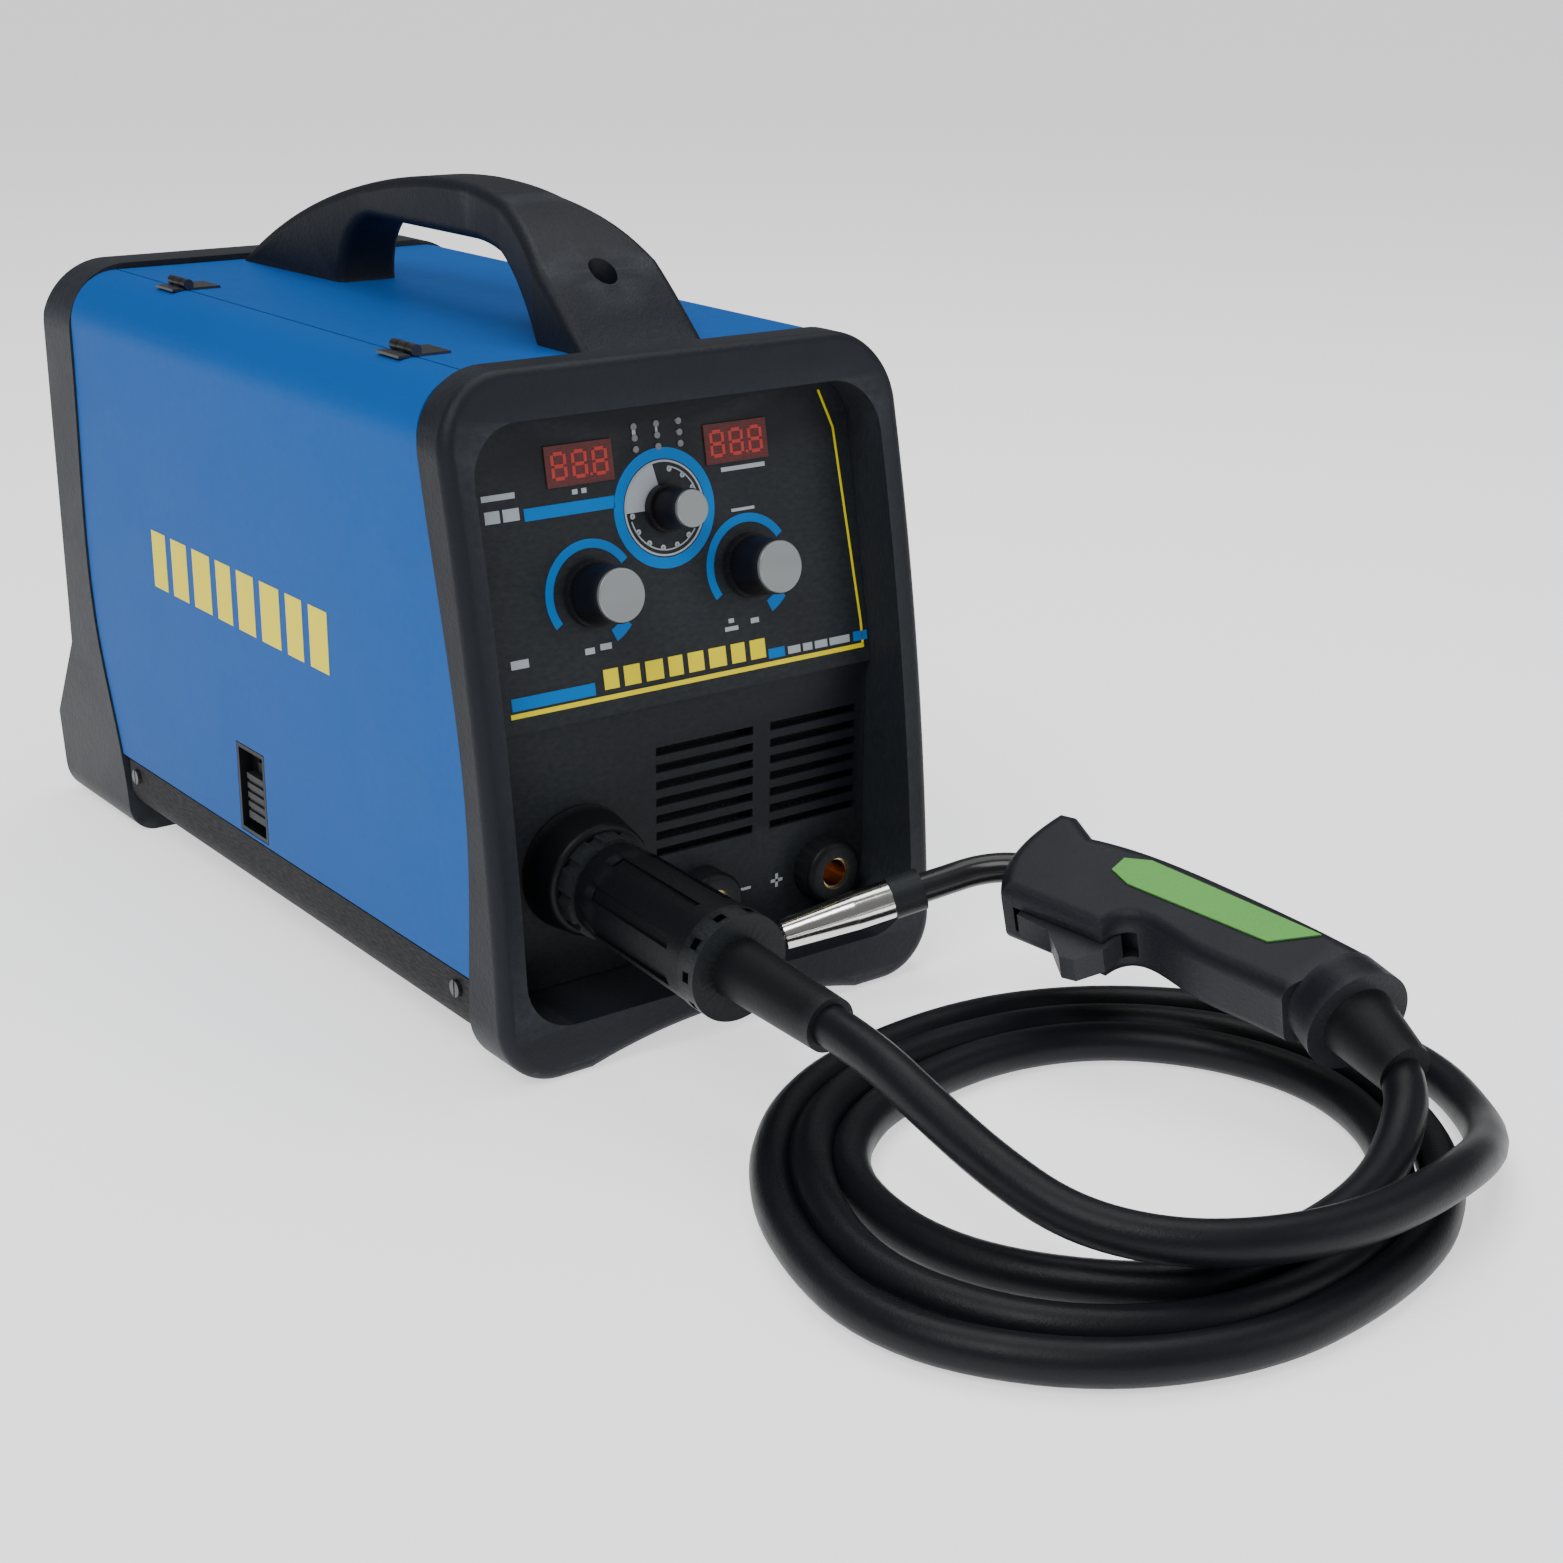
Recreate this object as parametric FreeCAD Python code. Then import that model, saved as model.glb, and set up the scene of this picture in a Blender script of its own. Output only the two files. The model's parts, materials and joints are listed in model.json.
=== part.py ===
import FreeCAD, Part
import math
import os

# Portable wire welder with its torch plugged in and the gun cable coiled on the floor.
# Millimetres. X is across the case (right seen from the front), -Y is the front, +Z is up.
# The origin is on the floor under the middle of the case.

V = FreeCAD.Vector
X_AXIS = V(1, 0, 0)
Y_AXIS = V(0, 1, 0)
Z_AXIS = V(0, 0, 1)

# ---- Driving sizes: case ----
CASE_LENGTH = 495.0
CASE_WIDTH = 240.0
CASE_TOP = 304.0
SHEET = 1.5
CORNER_R = 27.0
COVER_BOTTOM = 45.0
TRAY_BOTTOM = 12.0
TRAY_GAP = 1.5
TRAY_SCREW_Z = 36.0
PRESSED_FOOT_R = 9.0
PANEL_GAP = 0.5
SEAM_GAP = 1.0
SEAM_FROM_SIDE = 28.0
DIVIDER_X = -20.0

# ---- Driving sizes: plastic end frames ----
FRAME_PROUD = 1.0
FRAME_ABOVE = 3.0
FRAME_SIDE = 13.0
FRAME_TOP_BAND = 21.0
FRAME_TOP_R = 34.0
FRAME_FOOT_R = 29.0
REAR_FOOT_R = 15.0
TRAY_CORNER_R = 18.0
FRAME_EDGE_R = 6.0
ARCH_HALF = 75.0
ARCH_HEIGHT = 10.0
OPENING_BOTTOM = 25.0
OPENING_R = 24.0
SLEEVE_WALL = 3.0
CHASSIS_DEPTH = 70.0
REAR_FRAME_FROM_BACK = 63.0
REAR_FACE_FROM_BACK = 29.0
REAR_PANEL_FROM_BACK = 49.0

# ---- Driving sizes: control panel ----
PANEL_TILT = 10.6
PANEL_LOW_Z = 150.0
PANEL_LOW_DEPTH = 37.3
PANEL_SKIN = 3.0
LOWER_PANEL_DEPTH = 41.0
DISPLAY_W = 34.7
DISPLAY_H = 18.0
DISPLAY_INNER_X = 24.8
DISPLAY_UP = 112.0
DISPLAY_PROUD = 0.8
DIAL_UP = 87.0
KNOB_UP = 55.0
KNOB_X = 42.9
KNOB_BASE_R = 15.0
KNOB_FACE_R = 12.5
KNOB_LENGTH = 22.0
SMALL_KNOB_BASE_R = 11.0
SMALL_KNOB_FACE_R = 9.0
SMALL_KNOB_LENGTH = 20.0
CAP_THICK = 4.0
CAP_RIM = 0.6
KNOB_GAP = 0.6
SHAFT_R = 3.0
RUNNING = 0.05
BOARD_BEHIND = 12.0
BOARD_THICK = 1.6
LED_R = 1.5
LED_UP = (124.5, 119.5, 114.5)
LED_X = (-12.0, 0.0, 12.0)

# ---- Driving sizes: louvres, sockets and torch connector ----
LOUVRE_COUNT = 7
LOUVRE_PITCH = 8.2
LOUVRE_SLOT = 4.2
LOUVRE_LOW_Z = 75.0
LOUVRE_BANKS = ((-14.0, 41.0), (51.0, 102.0))
POLE_Z = 49.0
POLE_X = {"negative": 11.0, "positive": 82.0}
POLE_BODY_R = 16.0
POLE_PROUD = 13.0
POLE_BRASS_R = 8.0
POLE_BORE_R = 6.75
POLE_DEPTH = 30.0
GUN_X = -57.0
GUN_Z = 80.5
GUN_DIP = 2.7
COLLAR_R = 27.5
COLLAR_LENGTH = 20.0
NUT_R = 23.0
NUT_LENGTH = 24.0
GRIP_R = 23.5
GRIP_LENGTH = 82.0
RING_R = 24.0
RING_LENGTH = 11.0
BOOT_LENGTH = 61.0
BOOT_R = 13.2
BOOT_END_R = 11.8
CABLE_R = 9.0

# ---- Driving sizes: handle, hinges and latch ----
HANDLE_FOOT_W = 66.0
HANDLE_GRIP_W = 31.0
HANDLE_TAIL_W = 44.0
HANDLE_START = 66.0
HANDLE_TOP = 62.0
HANDLE_EDGE_R = 5.0
HINGE_DEPTHS = (118.0, 350.0)
HINGE_LENGTH = 20.0
KNUCKLE_R = 2.6
PIN_R = 1.3
LEAF_THICK = 1.2
LEAF_COVER_W = 16.0
LEAF_DOOR_W = 6.0
LATCH_DEPTH = 242.5
LATCH_Z = 70.0
LATCH_W = 30.0
LATCH_H = 46.0
LATCH_RECESS = 9.0
LATCH_WALL = 2.0
LATCH_TRAVEL = 8.0

# ---- Driving sizes: inside ----
WIRE_R = 0.5
SPOOL_R = 100.0
SPOOL_W = 55.0
SPOOL_FLANGE = 3.0
SPOOL_DEPTH = 332.0
WINDING_R = 85.0
HUB_R = 25.5
HUB_STUD_R = 8.0
FEED_DEPTH = 140.0
ROLL_R = 15.0
ROLL_W = 12.0
ROLL_NIP = 0.4
FEED_PLATE_THICK = 6.0
FEED_PLATE_OFF = 8.0
FEED_SHAFT_R = 4.0
MOTOR_R = 31.0
FAN_SIZE = 120.0
FAN_DEEP = 38.0
FAN_X = 44.0
FAN_Z = 112.0
FAN_BORE_R = 56.0
FAN_BLADE_R = 53.0
FAN_HUB_R = 20.0
SWITCH_X = 60.0
SWITCH_Z = 225.0
ROCKER_TIP = 9.0
GLAND_X = -60.0
GLAND_Z = 230.0
GLAND_BORE_R = 5.5
GAS_X = -60.0
GAS_Z = 80.0
GAS_R = 4.0

# ---- Driving sizes: torch, laid on its side over the coil (X, ahead of the case, Z) ----
TORCH_AT = (149.0, 229.0, 57.5)
TORCH_YAW = 104.6
TORCH_PITCH = -4.1
TORCH_ROLL = -21.2
TORCH_HALF = 17.0
TORCH_COLLAR_R = 24.5
NECK_R = 7.0
NECK_START = (165.0, -12.0)
NECK_HEADING = 14.0
NECK_BEND = 55.0
NECK_BEND_R = 44.0
NECK_RUN = 20.0
INSULATOR_LENGTH = 15.0
REAR_TURN = 29.0
NOZZLE_LENGTH = 52.0
NOZZLE_R = 9.0
NOZZLE_TIP_R = 7.0
TIP_R = 3.0

# ---- Driving sizes: coil (its middle is at X, ahead of the case) ----
COIL_AT = (46.0, 208.5)
COIL_OUTER = (176.0, 144.0)
COIL_INNER = (108.0, 88.0)
COIL_HEIGHT = 24.0

# ---- Places worked out from the sizes above ----
HALF_W = CASE_WIDTH / 2
FRONT = -CASE_LENGTH / 2
FRAME_HALF = HALF_W + FRAME_PROUD
FRAME_TOP = CASE_TOP + FRAME_ABOVE
OPENING_HALF = FRAME_HALF - FRAME_SIDE
OPENING_TOP = FRAME_TOP - FRAME_TOP_BAND
SEAM_X = -HALF_W + SEAM_FROM_SIDE
PINCH_Z = CASE_TOP + KNUCKLE_R + 0.3
SPOOL_Z = GUN_Z + WINDING_R + WIRE_R + 0.3


def front(depth):
    """Y of a plane this far behind the front of the case."""
    return FRONT + depth


def back(distance):
    """Y of a plane this far ahead of the back of the case."""
    return FRONT + CASE_LENGTH - distance


def box(x0, x1, y0, y1, z0, z1):
    return Part.makeBox(x1 - x0, y1 - y0, z1 - z0, V(x0, y0, z0))


def rod(radius, length, start, along):
    return Part.makeCylinder(radius, length, V(*start), along)


def pipe(outer, inner, length, start, along):
    return rod(outer, length, start, along).cut(rod(inner, length, start, along))


def cone(radius_0, radius_1, length, start, along):
    return Part.makeCone(radius_0, radius_1, length, V(*start), along)


def joined(shapes):
    whole = shapes[0]
    for shape in shapes[1:]:
        whole = whole.fuse(shape)
    return whole.removeSplitter()


def cut_all(shape, tools):
    for tool in tools:
        shape = shape.cut(tool)
    return shape


def face_of(edges):
    return Part.Face(Part.Wire(Part.__sortEdges__(edges)))


def line(a, b):
    return Part.LineSegment(V(*a), V(*b)).toShape()


def arc(a, b, c):
    return Part.Arc(V(*a), V(*b), V(*c)).toShape()


def curve(points):
    spline = Part.BSplineCurve()
    spline.interpolate([V(*p) for p in points])
    return spline.toShape()


def polygon(points):
    return Part.Face(Part.makePolygon([V(*p) for p in points + [points[0]]]))


def rounded_window(half_w, z0, z1, radius, y0, y1):
    """A block along Y whose outline is a rounded rectangle."""
    block = box(-half_w, half_w, y0, y1, z0, z1)
    edges = [e for e in block.Edges if e.BoundBox.YLength > (y1 - y0) / 2]
    return block.makeFillet(radius, edges)


def on_panel(shape):
    """Moves a shape from the control panel's own frame: across, up the face, out of the face."""
    placed = shape.copy()
    turn = FreeCAD.Rotation(X_AXIS, 90 - PANEL_TILT)
    placed.Placement = FreeCAD.Placement(V(0, front(PANEL_LOW_DEPTH), PANEL_LOW_Z), turn) * placed.Placement
    return placed


def on_gun(shape):
    """Moves a shape from the connector's frame: its Z runs out of the socket, from the panel."""
    placed = shape.copy()
    turn = FreeCAD.Rotation(X_AXIS, 90 + GUN_DIP)
    placed.Placement = FreeCAD.Placement(V(GUN_X, front(LOWER_PANEL_DEPTH), GUN_Z), turn) * placed.Placement
    return placed


def on_torch(shape):
    """Moves a shape from the torch's frame: along the handle, towards the trigger, upwards."""
    placed = shape.copy()
    turn = FreeCAD.Rotation(TORCH_YAW, TORCH_PITCH, TORCH_ROLL)
    placed.Placement = FreeCAD.Placement(V(*ahead(TORCH_AT)), turn) * placed.Placement
    return placed


# ---- End frames ----
def frame_outline(y0, y1, foot):
    """Outline of an end frame from the front: feet at the corners and an arch between them."""
    top, half = FRAME_TOP, FRAME_HALF
    bend = FRAME_TOP_R * (1 - math.sqrt(0.5))
    sole = foot * (1 - math.sqrt(0.5))
    edges = [
        line((-half, y0, foot), (-half, y0, top - FRAME_TOP_R)),
        arc((-half, y0, top - FRAME_TOP_R), (-half + bend, y0, top - bend), (-half + FRAME_TOP_R, y0, top)),
        line((-half + FRAME_TOP_R, y0, top), (half - FRAME_TOP_R, y0, top)),
        arc((half - FRAME_TOP_R, y0, top), (half - bend, y0, top - bend), (half, y0, top - FRAME_TOP_R)),
        line((half, y0, top - FRAME_TOP_R), (half, y0, foot)),
        arc((half, y0, foot), (half - sole, y0, sole), (half - foot, y0, 0)),
        line((half - foot, y0, 0), (ARCH_HALF, y0, 0)),
        arc((ARCH_HALF, y0, 0), (0, y0, ARCH_HEIGHT), (-ARCH_HALF, y0, 0)),
        line((-ARCH_HALF, y0, 0), (-half + foot, y0, 0)),
        arc((-half + foot, y0, 0), (-half + sole, y0, sole), (-half, y0, foot)),
    ]
    return face_of(edges).extrude(V(0, y1 - y0, 0))


def front_edge_points(x, back_by):
    """The back edge of the front frame's side, which the cover and the door follow."""
    low = -5.0
    high = FRAME_TOP + 5
    return [
        (x, front(31 + back_by), low),
        (x, front(30 + back_by), 50),
        (x, front(27.5 + back_by), 107),
        (x, front(35.6 + back_by), 172),
        (x, front(49 + back_by), 230),
        (x, front(64 + back_by), high),
    ]


def rear_edge_points(x, forward_by):
    """The front edge of the rear frame's side."""
    return [
        (x, back(95 + forward_by), -5),
        (x, back(88 + forward_by), 45),
        (x, back(REAR_FRAME_FROM_BACK + 5 + forward_by), 105),
        (x, back(REAR_FRAME_FROM_BACK + forward_by), 210),
        (x, back(REAR_FRAME_FROM_BACK + forward_by), FRAME_TOP + 5),
    ]


def front_face_arc(x, back_by=0.0):
    low = (x, front(back_by), -5)
    middle = (x, front(15 + back_by), 160)
    high = (x, front(46 + back_by), FRAME_TOP + 5)
    return arc(low, middle, high), low, high


def front_frame_side():
    """Side view of the front frame: a face that leans back, and the line the cover follows."""
    x = -HALF_W - 20
    face_edge, low, high = front_face_arc(x)
    points = front_edge_points(x, 0)
    edges = [face_edge, line(high, points[-1]), curve(points), line(points[0], low)]
    return face_of(edges).extrude(V(CASE_WIDTH + 40, 0, 0))


def sleeve_side():
    """Side view of the sleeve that runs back from the opening to the chassis plate."""
    x = -HALF_W - 20
    face_edge, low, high = front_face_arc(x, 8.0)
    back_low = (x, front(CHASSIS_DEPTH), low[2])
    back_high = (x, front(CHASSIS_DEPTH), high[2])
    edges = [face_edge, line(high, back_high), line(back_high, back_low), line(back_low, low)]
    return face_of(edges).extrude(V(CASE_WIDTH + 40, 0, 0))


def front_bezel():
    body = frame_outline(front(-10), front(80), FRAME_FOOT_R).common(front_frame_side())
    rim = [e for e in body.Edges if on_front_face(e)]
    body = body.makeFillet(FRAME_EDGE_R, rim)
    wall = SLEEVE_WALL
    sleeve = rounded_window(OPENING_HALF + wall, OPENING_BOTTOM - wall, OPENING_TOP + wall,
                            OPENING_R + wall, front(0), front(CHASSIS_DEPTH))
    body = body.fuse(sleeve.common(sleeve_side()))
    opening = rounded_window(OPENING_HALF, OPENING_BOTTOM, OPENING_TOP, OPENING_R, front(-20), front(90))
    return body.cut(opening).removeSplitter()


def on_front_face(edge):
    """True for an edge that lies on the leaning front face of the frame."""
    for share in (0.25, 0.5, 0.75):
        first, last = edge.ParameterRange
        point = edge.valueAt(first + share * (last - first))
        face_edge = front_face_arc(point.x)[0]
        if face_edge.distToShape(Part.Vertex(point))[0] > 0.05:
            return False
    return True


def rear_bezel():
    x = -HALF_W - 20
    points = rear_edge_points(x, 0)
    rear_line = [
        (x, back(11), -5), (x, back(4), 18), (x, back(0), 47), (x, back(REAR_FACE_FROM_BACK), 95),
        (x, back(REAR_FACE_FROM_BACK), 280), (x, back(37), FRAME_TOP + 5),
    ]
    edges = [curve(points), line(points[0], rear_line[0]), line(points[-1], rear_line[-1])]
    edges += [line(a, b) for a, b in zip(rear_line, rear_line[1:])]
    side = face_of(edges).extrude(V(CASE_WIDTH + 40, 0, 0))
    body = frame_outline(back(115), back(-15), REAR_FOOT_R).common(side)
    opening = rounded_window(OPENING_HALF, OPENING_BOTTOM, OPENING_TOP, OPENING_R, back(125), back(-25))
    feet = box(-ARCH_HALF, ARCH_HALF, back(REAR_FACE_FROM_BACK), back(-15), -5, OPENING_TOP)
    return body.cut(opening).cut(feet).removeSplitter()


# ---- Sheet metal ----
def sheet_section(x_in, x_out):
    """Section of a cover: down one side, round the top corner and across to the seam."""
    y0, y1 = FRONT - 5, back(-5)
    shells = []
    for inset in (0, SHEET):
        top = CASE_TOP - inset
        block = box(-HALF_W + inset, HALF_W - inset, y0, y1, COVER_BOTTOM - 50, top)
        top_edges = [e for e in block.Edges if e.BoundBox.YLength > 10 and e.BoundBox.ZMin > top - 1]
        shells.append(block.makeFillet(CORNER_R - inset, top_edges))
    outer, inner = shells
    keep = box(min(x_in, x_out), max(x_in, x_out), y0, y1, COVER_BOTTOM, CASE_TOP + 1)
    return outer.cut(inner).common(keep)


def between_frames(shape, gap):
    """Trims a cover to the two end frames."""
    x = -HALF_W - 20
    ahead = front_edge_points(x, gap)
    behind = rear_edge_points(x, gap)
    edges = [curve(ahead), line(ahead[0], behind[0]), curve(behind), line(behind[-1], ahead[-1])]
    return shape.common(face_of(edges).extrude(V(CASE_WIDTH + 40, 0, 0)))


def cover():
    return between_frames(sheet_section(SEAM_X + SEAM_GAP / 2, HALF_W + 1), SEAM_GAP)


def door():
    sheet = between_frames(sheet_section(-HALF_W - 1, SEAM_X - SEAM_GAP / 2), SEAM_GAP)
    return sheet.cut(latch_window(PANEL_GAP))


def tray_screw_places():
    return [(side, depth) for side in (-1, 1) for depth in (front(44), back(105))]


def tray_block(half, bottom, radius, y0, y1, top):
    block = box(-half, half, y0, y1, bottom, top)
    low_edges = [e for e in block.Edges if e.BoundBox.YLength > SHEET / 2 and e.BoundBox.ZMax < bottom + 1
                 and e.BoundBox.XLength < 1]
    return block.makeFillet(radius, low_edges)


def base_tray():
    half = HALF_W - 1.0
    top = COVER_BOTTOM - TRAY_GAP
    y0, y1 = front(32.5), back(95)
    body = tray_block(half, TRAY_BOTTOM, TRAY_CORNER_R, y0, y1, top)
    inside = tray_block(half - SHEET, TRAY_BOTTOM + SHEET, TRAY_CORNER_R - SHEET, y0 - 1, y1 + 1, top + 1)
    pressed_foot = rod(PRESSED_FOOT_R, TRAY_BOTTOM + SHEET, (0, 0, 0), Z_AXIS)
    body = body.cut(inside).fuse(pressed_foot)
    slots = [box(-60, 60, front(d), front(d + 5), 0, 30) for d in range(120, 240, 16)]
    holes = []
    for side, y in tray_screw_places():
        holes.append(rod(2.1, 10, (side * (half - 5), y, TRAY_SCREW_Z), V(side, 0, 0)))
    return cut_all(body, slots + holes)


def chassis_front():
    z0 = TRAY_BOTTOM + SHEET
    y0 = front(CHASSIS_DEPTH)
    plate = tray_block(HALF_W - 4, z0, TRAY_CORNER_R, y0, y0 + SHEET, CASE_TOP - SHEET - CORNER_R)
    window = box(-OPENING_HALF + 13, OPENING_HALF - 13, y0 - 1, y0 + 5, PANEL_LOW_Z + 18, OPENING_TOP - 4)
    air = [box(a, b, y0 - 1, y0 + 5, LOUVRE_LOW_Z, LOUVRE_LOW_Z + 56) for a, b in LOUVRE_BANKS]
    holes = [rod(POLE_BRASS_R + 1, 10, (x, y0 - 5, POLE_Z), Y_AXIS) for x in POLE_X.values()]
    gun = rod(14, 12, (GUN_X, y0 - 6, GUN_Z), Y_AXIS)
    return cut_all(plate, [window] + air + holes + [gun])


def divider():
    y0 = front(CHASSIS_DEPTH) + SHEET
    y1 = back(REAR_PANEL_FROM_BACK)
    plate = box(DIVIDER_X - SHEET, DIVIDER_X, y0, y1, TRAY_BOTTOM + SHEET, CASE_TOP - SHEET - 4)
    drive = rod(12, 10, (DIVIDER_X - 5, front(FEED_DEPTH), GUN_Z - ROLL_R - ROLL_NIP), X_AXIS)
    low_notch = box(DIVIDER_X - 5, DIVIDER_X + 5, back(100), y1 + 1, 0, OPENING_BOTTOM + 1)
    high_notch = box(DIVIDER_X - 5, DIVIDER_X + 5, back(100), y1 + 1, OPENING_TOP - 1, CASE_TOP)
    return cut_all(plate, [drive, low_notch, high_notch])


def rear_panel():
    y0 = back(REAR_PANEL_FROM_BACK)
    plate = rounded_window(OPENING_HALF - PANEL_GAP, OPENING_BOTTOM + PANEL_GAP, OPENING_TOP - PANEL_GAP,
                           OPENING_R - PANEL_GAP, y0, y0 + SHEET)
    cuts = []
    for ring in range(5):
        radius = 10 + ring * 9.5
        cuts.append(pipe(radius + 5.5, radius, 10, (FAN_X, y0 - 5, FAN_Z), Y_AXIS))
    guard = cut_all(plate, cuts)
    for turn in range(4):
        bar = box(-2, 2, -60, 60, 0, SHEET)
        bar.Placement = FreeCAD.Placement(V(FAN_X, y0 + SHEET, FAN_Z), FreeCAD.Rotation(X_AXIS, 90))
        bar.rotate(V(FAN_X, y0, FAN_Z), Y_AXIS, 45 * turn)
        guard = guard.fuse(bar.common(plate))
    switch = box(SWITCH_X - 14, SWITCH_X + 14, y0 - 5, y0 + 5, SWITCH_Z - 11, SWITCH_Z + 11)
    gland = rod(10.2, 10, (GLAND_X, y0 - 5, GLAND_Z), Y_AXIS)
    gas = rod(6.2, 10, (GAS_X, y0 - 5, GAS_Z), Y_AXIS)
    return cut_all(guard, [switch, gland, gas]).removeSplitter()


def screw(seat, along, reach):
    """Slotted pan head screw: the head's underside is at the seat."""
    head = rod(4.0, 2.0, seat, along)
    shank = rod(2.0, reach, seat, along * -1)
    slot = Part.makeBox(10, 1.0, 2.0, V(-5, -0.5, 1.2))
    slot.Placement = FreeCAD.Placement(V(*seat), FreeCAD.Rotation(Z_AXIS, along))
    return shank.fuse(head).cut(slot).removeSplitter()


def case_screws():
    half = HALF_W - 1.0
    screws = [screw((side * half, y, TRAY_SCREW_Z), V(side, 0, 0), 6) for side, y in tray_screw_places()]
    screws += [screw((0, y, CASE_TOP + up), Z_AXIS, up) for y, up in handle_screw_places()]
    return Part.makeCompound(screws)


# ---- Control panel ----
def panel_half():
    return OPENING_HALF - PANEL_GAP


def control_panel():
    top = OPENING_TOP - PANEL_GAP
    high = (top - PANEL_LOW_Z) / math.cos(math.radians(PANEL_TILT))
    block = on_panel(box(-panel_half(), panel_half(), 0, high + 30, -60, 0))
    space = rounded_window(panel_half(), OPENING_BOTTOM + PANEL_GAP, top, OPENING_R - PANEL_GAP,
                           front(0), front(CHASSIS_DEPTH))
    space = space.common(box(-HALF_W, HALF_W, front(0), front(CHASSIS_DEPTH), PANEL_LOW_Z, top))
    body = block.common(space)
    hollow = on_panel(box(-panel_half() + 14, panel_half() - 14, 20, high - 14, -60, -PANEL_SKIN))
    body = body.cut(hollow)
    pockets = []
    for x0 in (DISPLAY_INNER_X, -DISPLAY_INNER_X - DISPLAY_W):
        low = DISPLAY_UP - DISPLAY_H / 2
        pockets.append(on_panel(box(x0 - 0.1, x0 + DISPLAY_W + 0.1, low - 0.1, low + DISPLAY_H + 0.1, -2, 1)))
    for x, up in knob_places().values():
        pockets.append(on_panel(rod(SHAFT_R + RUNNING, 20, (x, up, -15), Z_AXIS)))
    for x in LED_X:
        for up in LED_UP:
            pockets.append(on_panel(rod(LED_R + 0.05, 5, (x, up, -1), Z_AXIS)))
    return cut_all(body, pockets)


def knob_places():
    return {"left": (-KNOB_X, KNOB_UP), "right": (KNOB_X, KNOB_UP), "centre": (0.0, DIAL_UP)}


def knob_sizes(name):
    if name == "centre":
        return SMALL_KNOB_BASE_R, SMALL_KNOB_FACE_R, SMALL_KNOB_LENGTH
    return KNOB_BASE_R, KNOB_FACE_R, KNOB_LENGTH


def knob(name):
    x, up = knob_places()[name]
    base_r, face_r, length = knob_sizes(name)
    skirt = rod(base_r, 4, (x, up, KNOB_GAP), Z_AXIS)
    grip = cone(base_r - 1.5, face_r, length - 4, (x, up, KNOB_GAP + 4), Z_AXIS)
    shaft = rod(SHAFT_R, BOARD_BEHIND - 1 + KNOB_GAP, (x, up, -BOARD_BEHIND + 1), Z_AXIS)
    body = joined([skirt, grip, shaft])
    seat = rod(face_r - CAP_RIM, 2, (x, up, KNOB_GAP + length - 2), Z_AXIS)
    flutes = []
    count = 18
    for i in range(count):
        angle = 2 * math.pi * i / count
        spot = (x + (base_r + 0.2) * math.cos(angle), up + (base_r + 0.2) * math.sin(angle), KNOB_GAP + 5)
        flutes.append(rod(1.6, length, spot, Z_AXIS))
    return on_panel(cut_all(body.cut(seat), flutes))


def knob_cap(name):
    x, up = knob_places()[name]
    face_r, length = knob_sizes(name)[1:]
    disc = rod(face_r - CAP_RIM, CAP_THICK, (x, up, KNOB_GAP + length - 2), Z_AXIS)
    rim = [e for e in disc.Edges if e.BoundBox.ZMin > KNOB_GAP + length]
    return on_panel(disc.makeFillet(0.8, rim))


def display(side):
    x0 = DISPLAY_INNER_X if side > 0 else -DISPLAY_INNER_X - DISPLAY_W
    low = DISPLAY_UP - DISPLAY_H / 2
    return on_panel(box(x0, x0 + DISPLAY_W, low, low + DISPLAY_H, -2, DISPLAY_PROUD))


def indicator_lamps():
    lamps = [rod(LED_R, 1.6, (x, up, -1), Z_AXIS) for x in LED_X for up in LED_UP]
    return Part.makeCompound([on_panel(lamp) for lamp in lamps])


def lower_panel():
    y0 = front(LOWER_PANEL_DEPTH)
    top = PANEL_LOW_Z - 0.3
    half = panel_half()
    space = rounded_window(half, OPENING_BOTTOM + PANEL_GAP, OPENING_TOP, OPENING_R - PANEL_GAP,
                           y0, front(CHASSIS_DEPTH))
    body = space.common(box(-half, half, y0, front(CHASSIS_DEPTH), 0, top))
    behind = front(CHASSIS_DEPTH) + 1
    body = body.cut(box(-half + 8, half - 8, y0 + PANEL_SKIN, behind, OPENING_BOTTOM + 12, top - 8))
    cuts = []
    for x0, x1 in LOUVRE_BANKS:
        for i in range(LOUVRE_COUNT):
            z = LOUVRE_LOW_Z + i * LOUVRE_PITCH
            cuts.append(box(x0, x1, y0 - 2, y0 + 8, z, z + LOUVRE_SLOT))
    cuts += [rod(POLE_BRASS_R + 2.1, 20, (x, y0 - 5, POLE_Z), Y_AXIS) for x in POLE_X.values()]
    cuts.append(rod(14.1, 20, (GUN_X, y0 - 5, GUN_Z), Y_AXIS))
    return cut_all(body, cuts)


def pole_body(name):
    """Moulded shell of a weld current socket, with its shoulder on the panel."""
    x = POLE_X[name]
    y0 = front(LOWER_PANEL_DEPTH)
    shell = rod(POLE_BODY_R, POLE_PROUD, (x, y0 - POLE_PROUD, POLE_Z), Y_AXIS)
    rim = [e for e in shell.Edges if e.BoundBox.YMax < y0 - POLE_PROUD + 0.1]
    shell = shell.makeFillet(3, rim)
    neck = rod(POLE_BRASS_R + 2, 8, (x, y0, POLE_Z), Y_AXIS)
    return shell.fuse(neck).cut(rod(POLE_BRASS_R, 60, (x, y0 - 30, POLE_Z), Y_AXIS)).removeSplitter()


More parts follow.
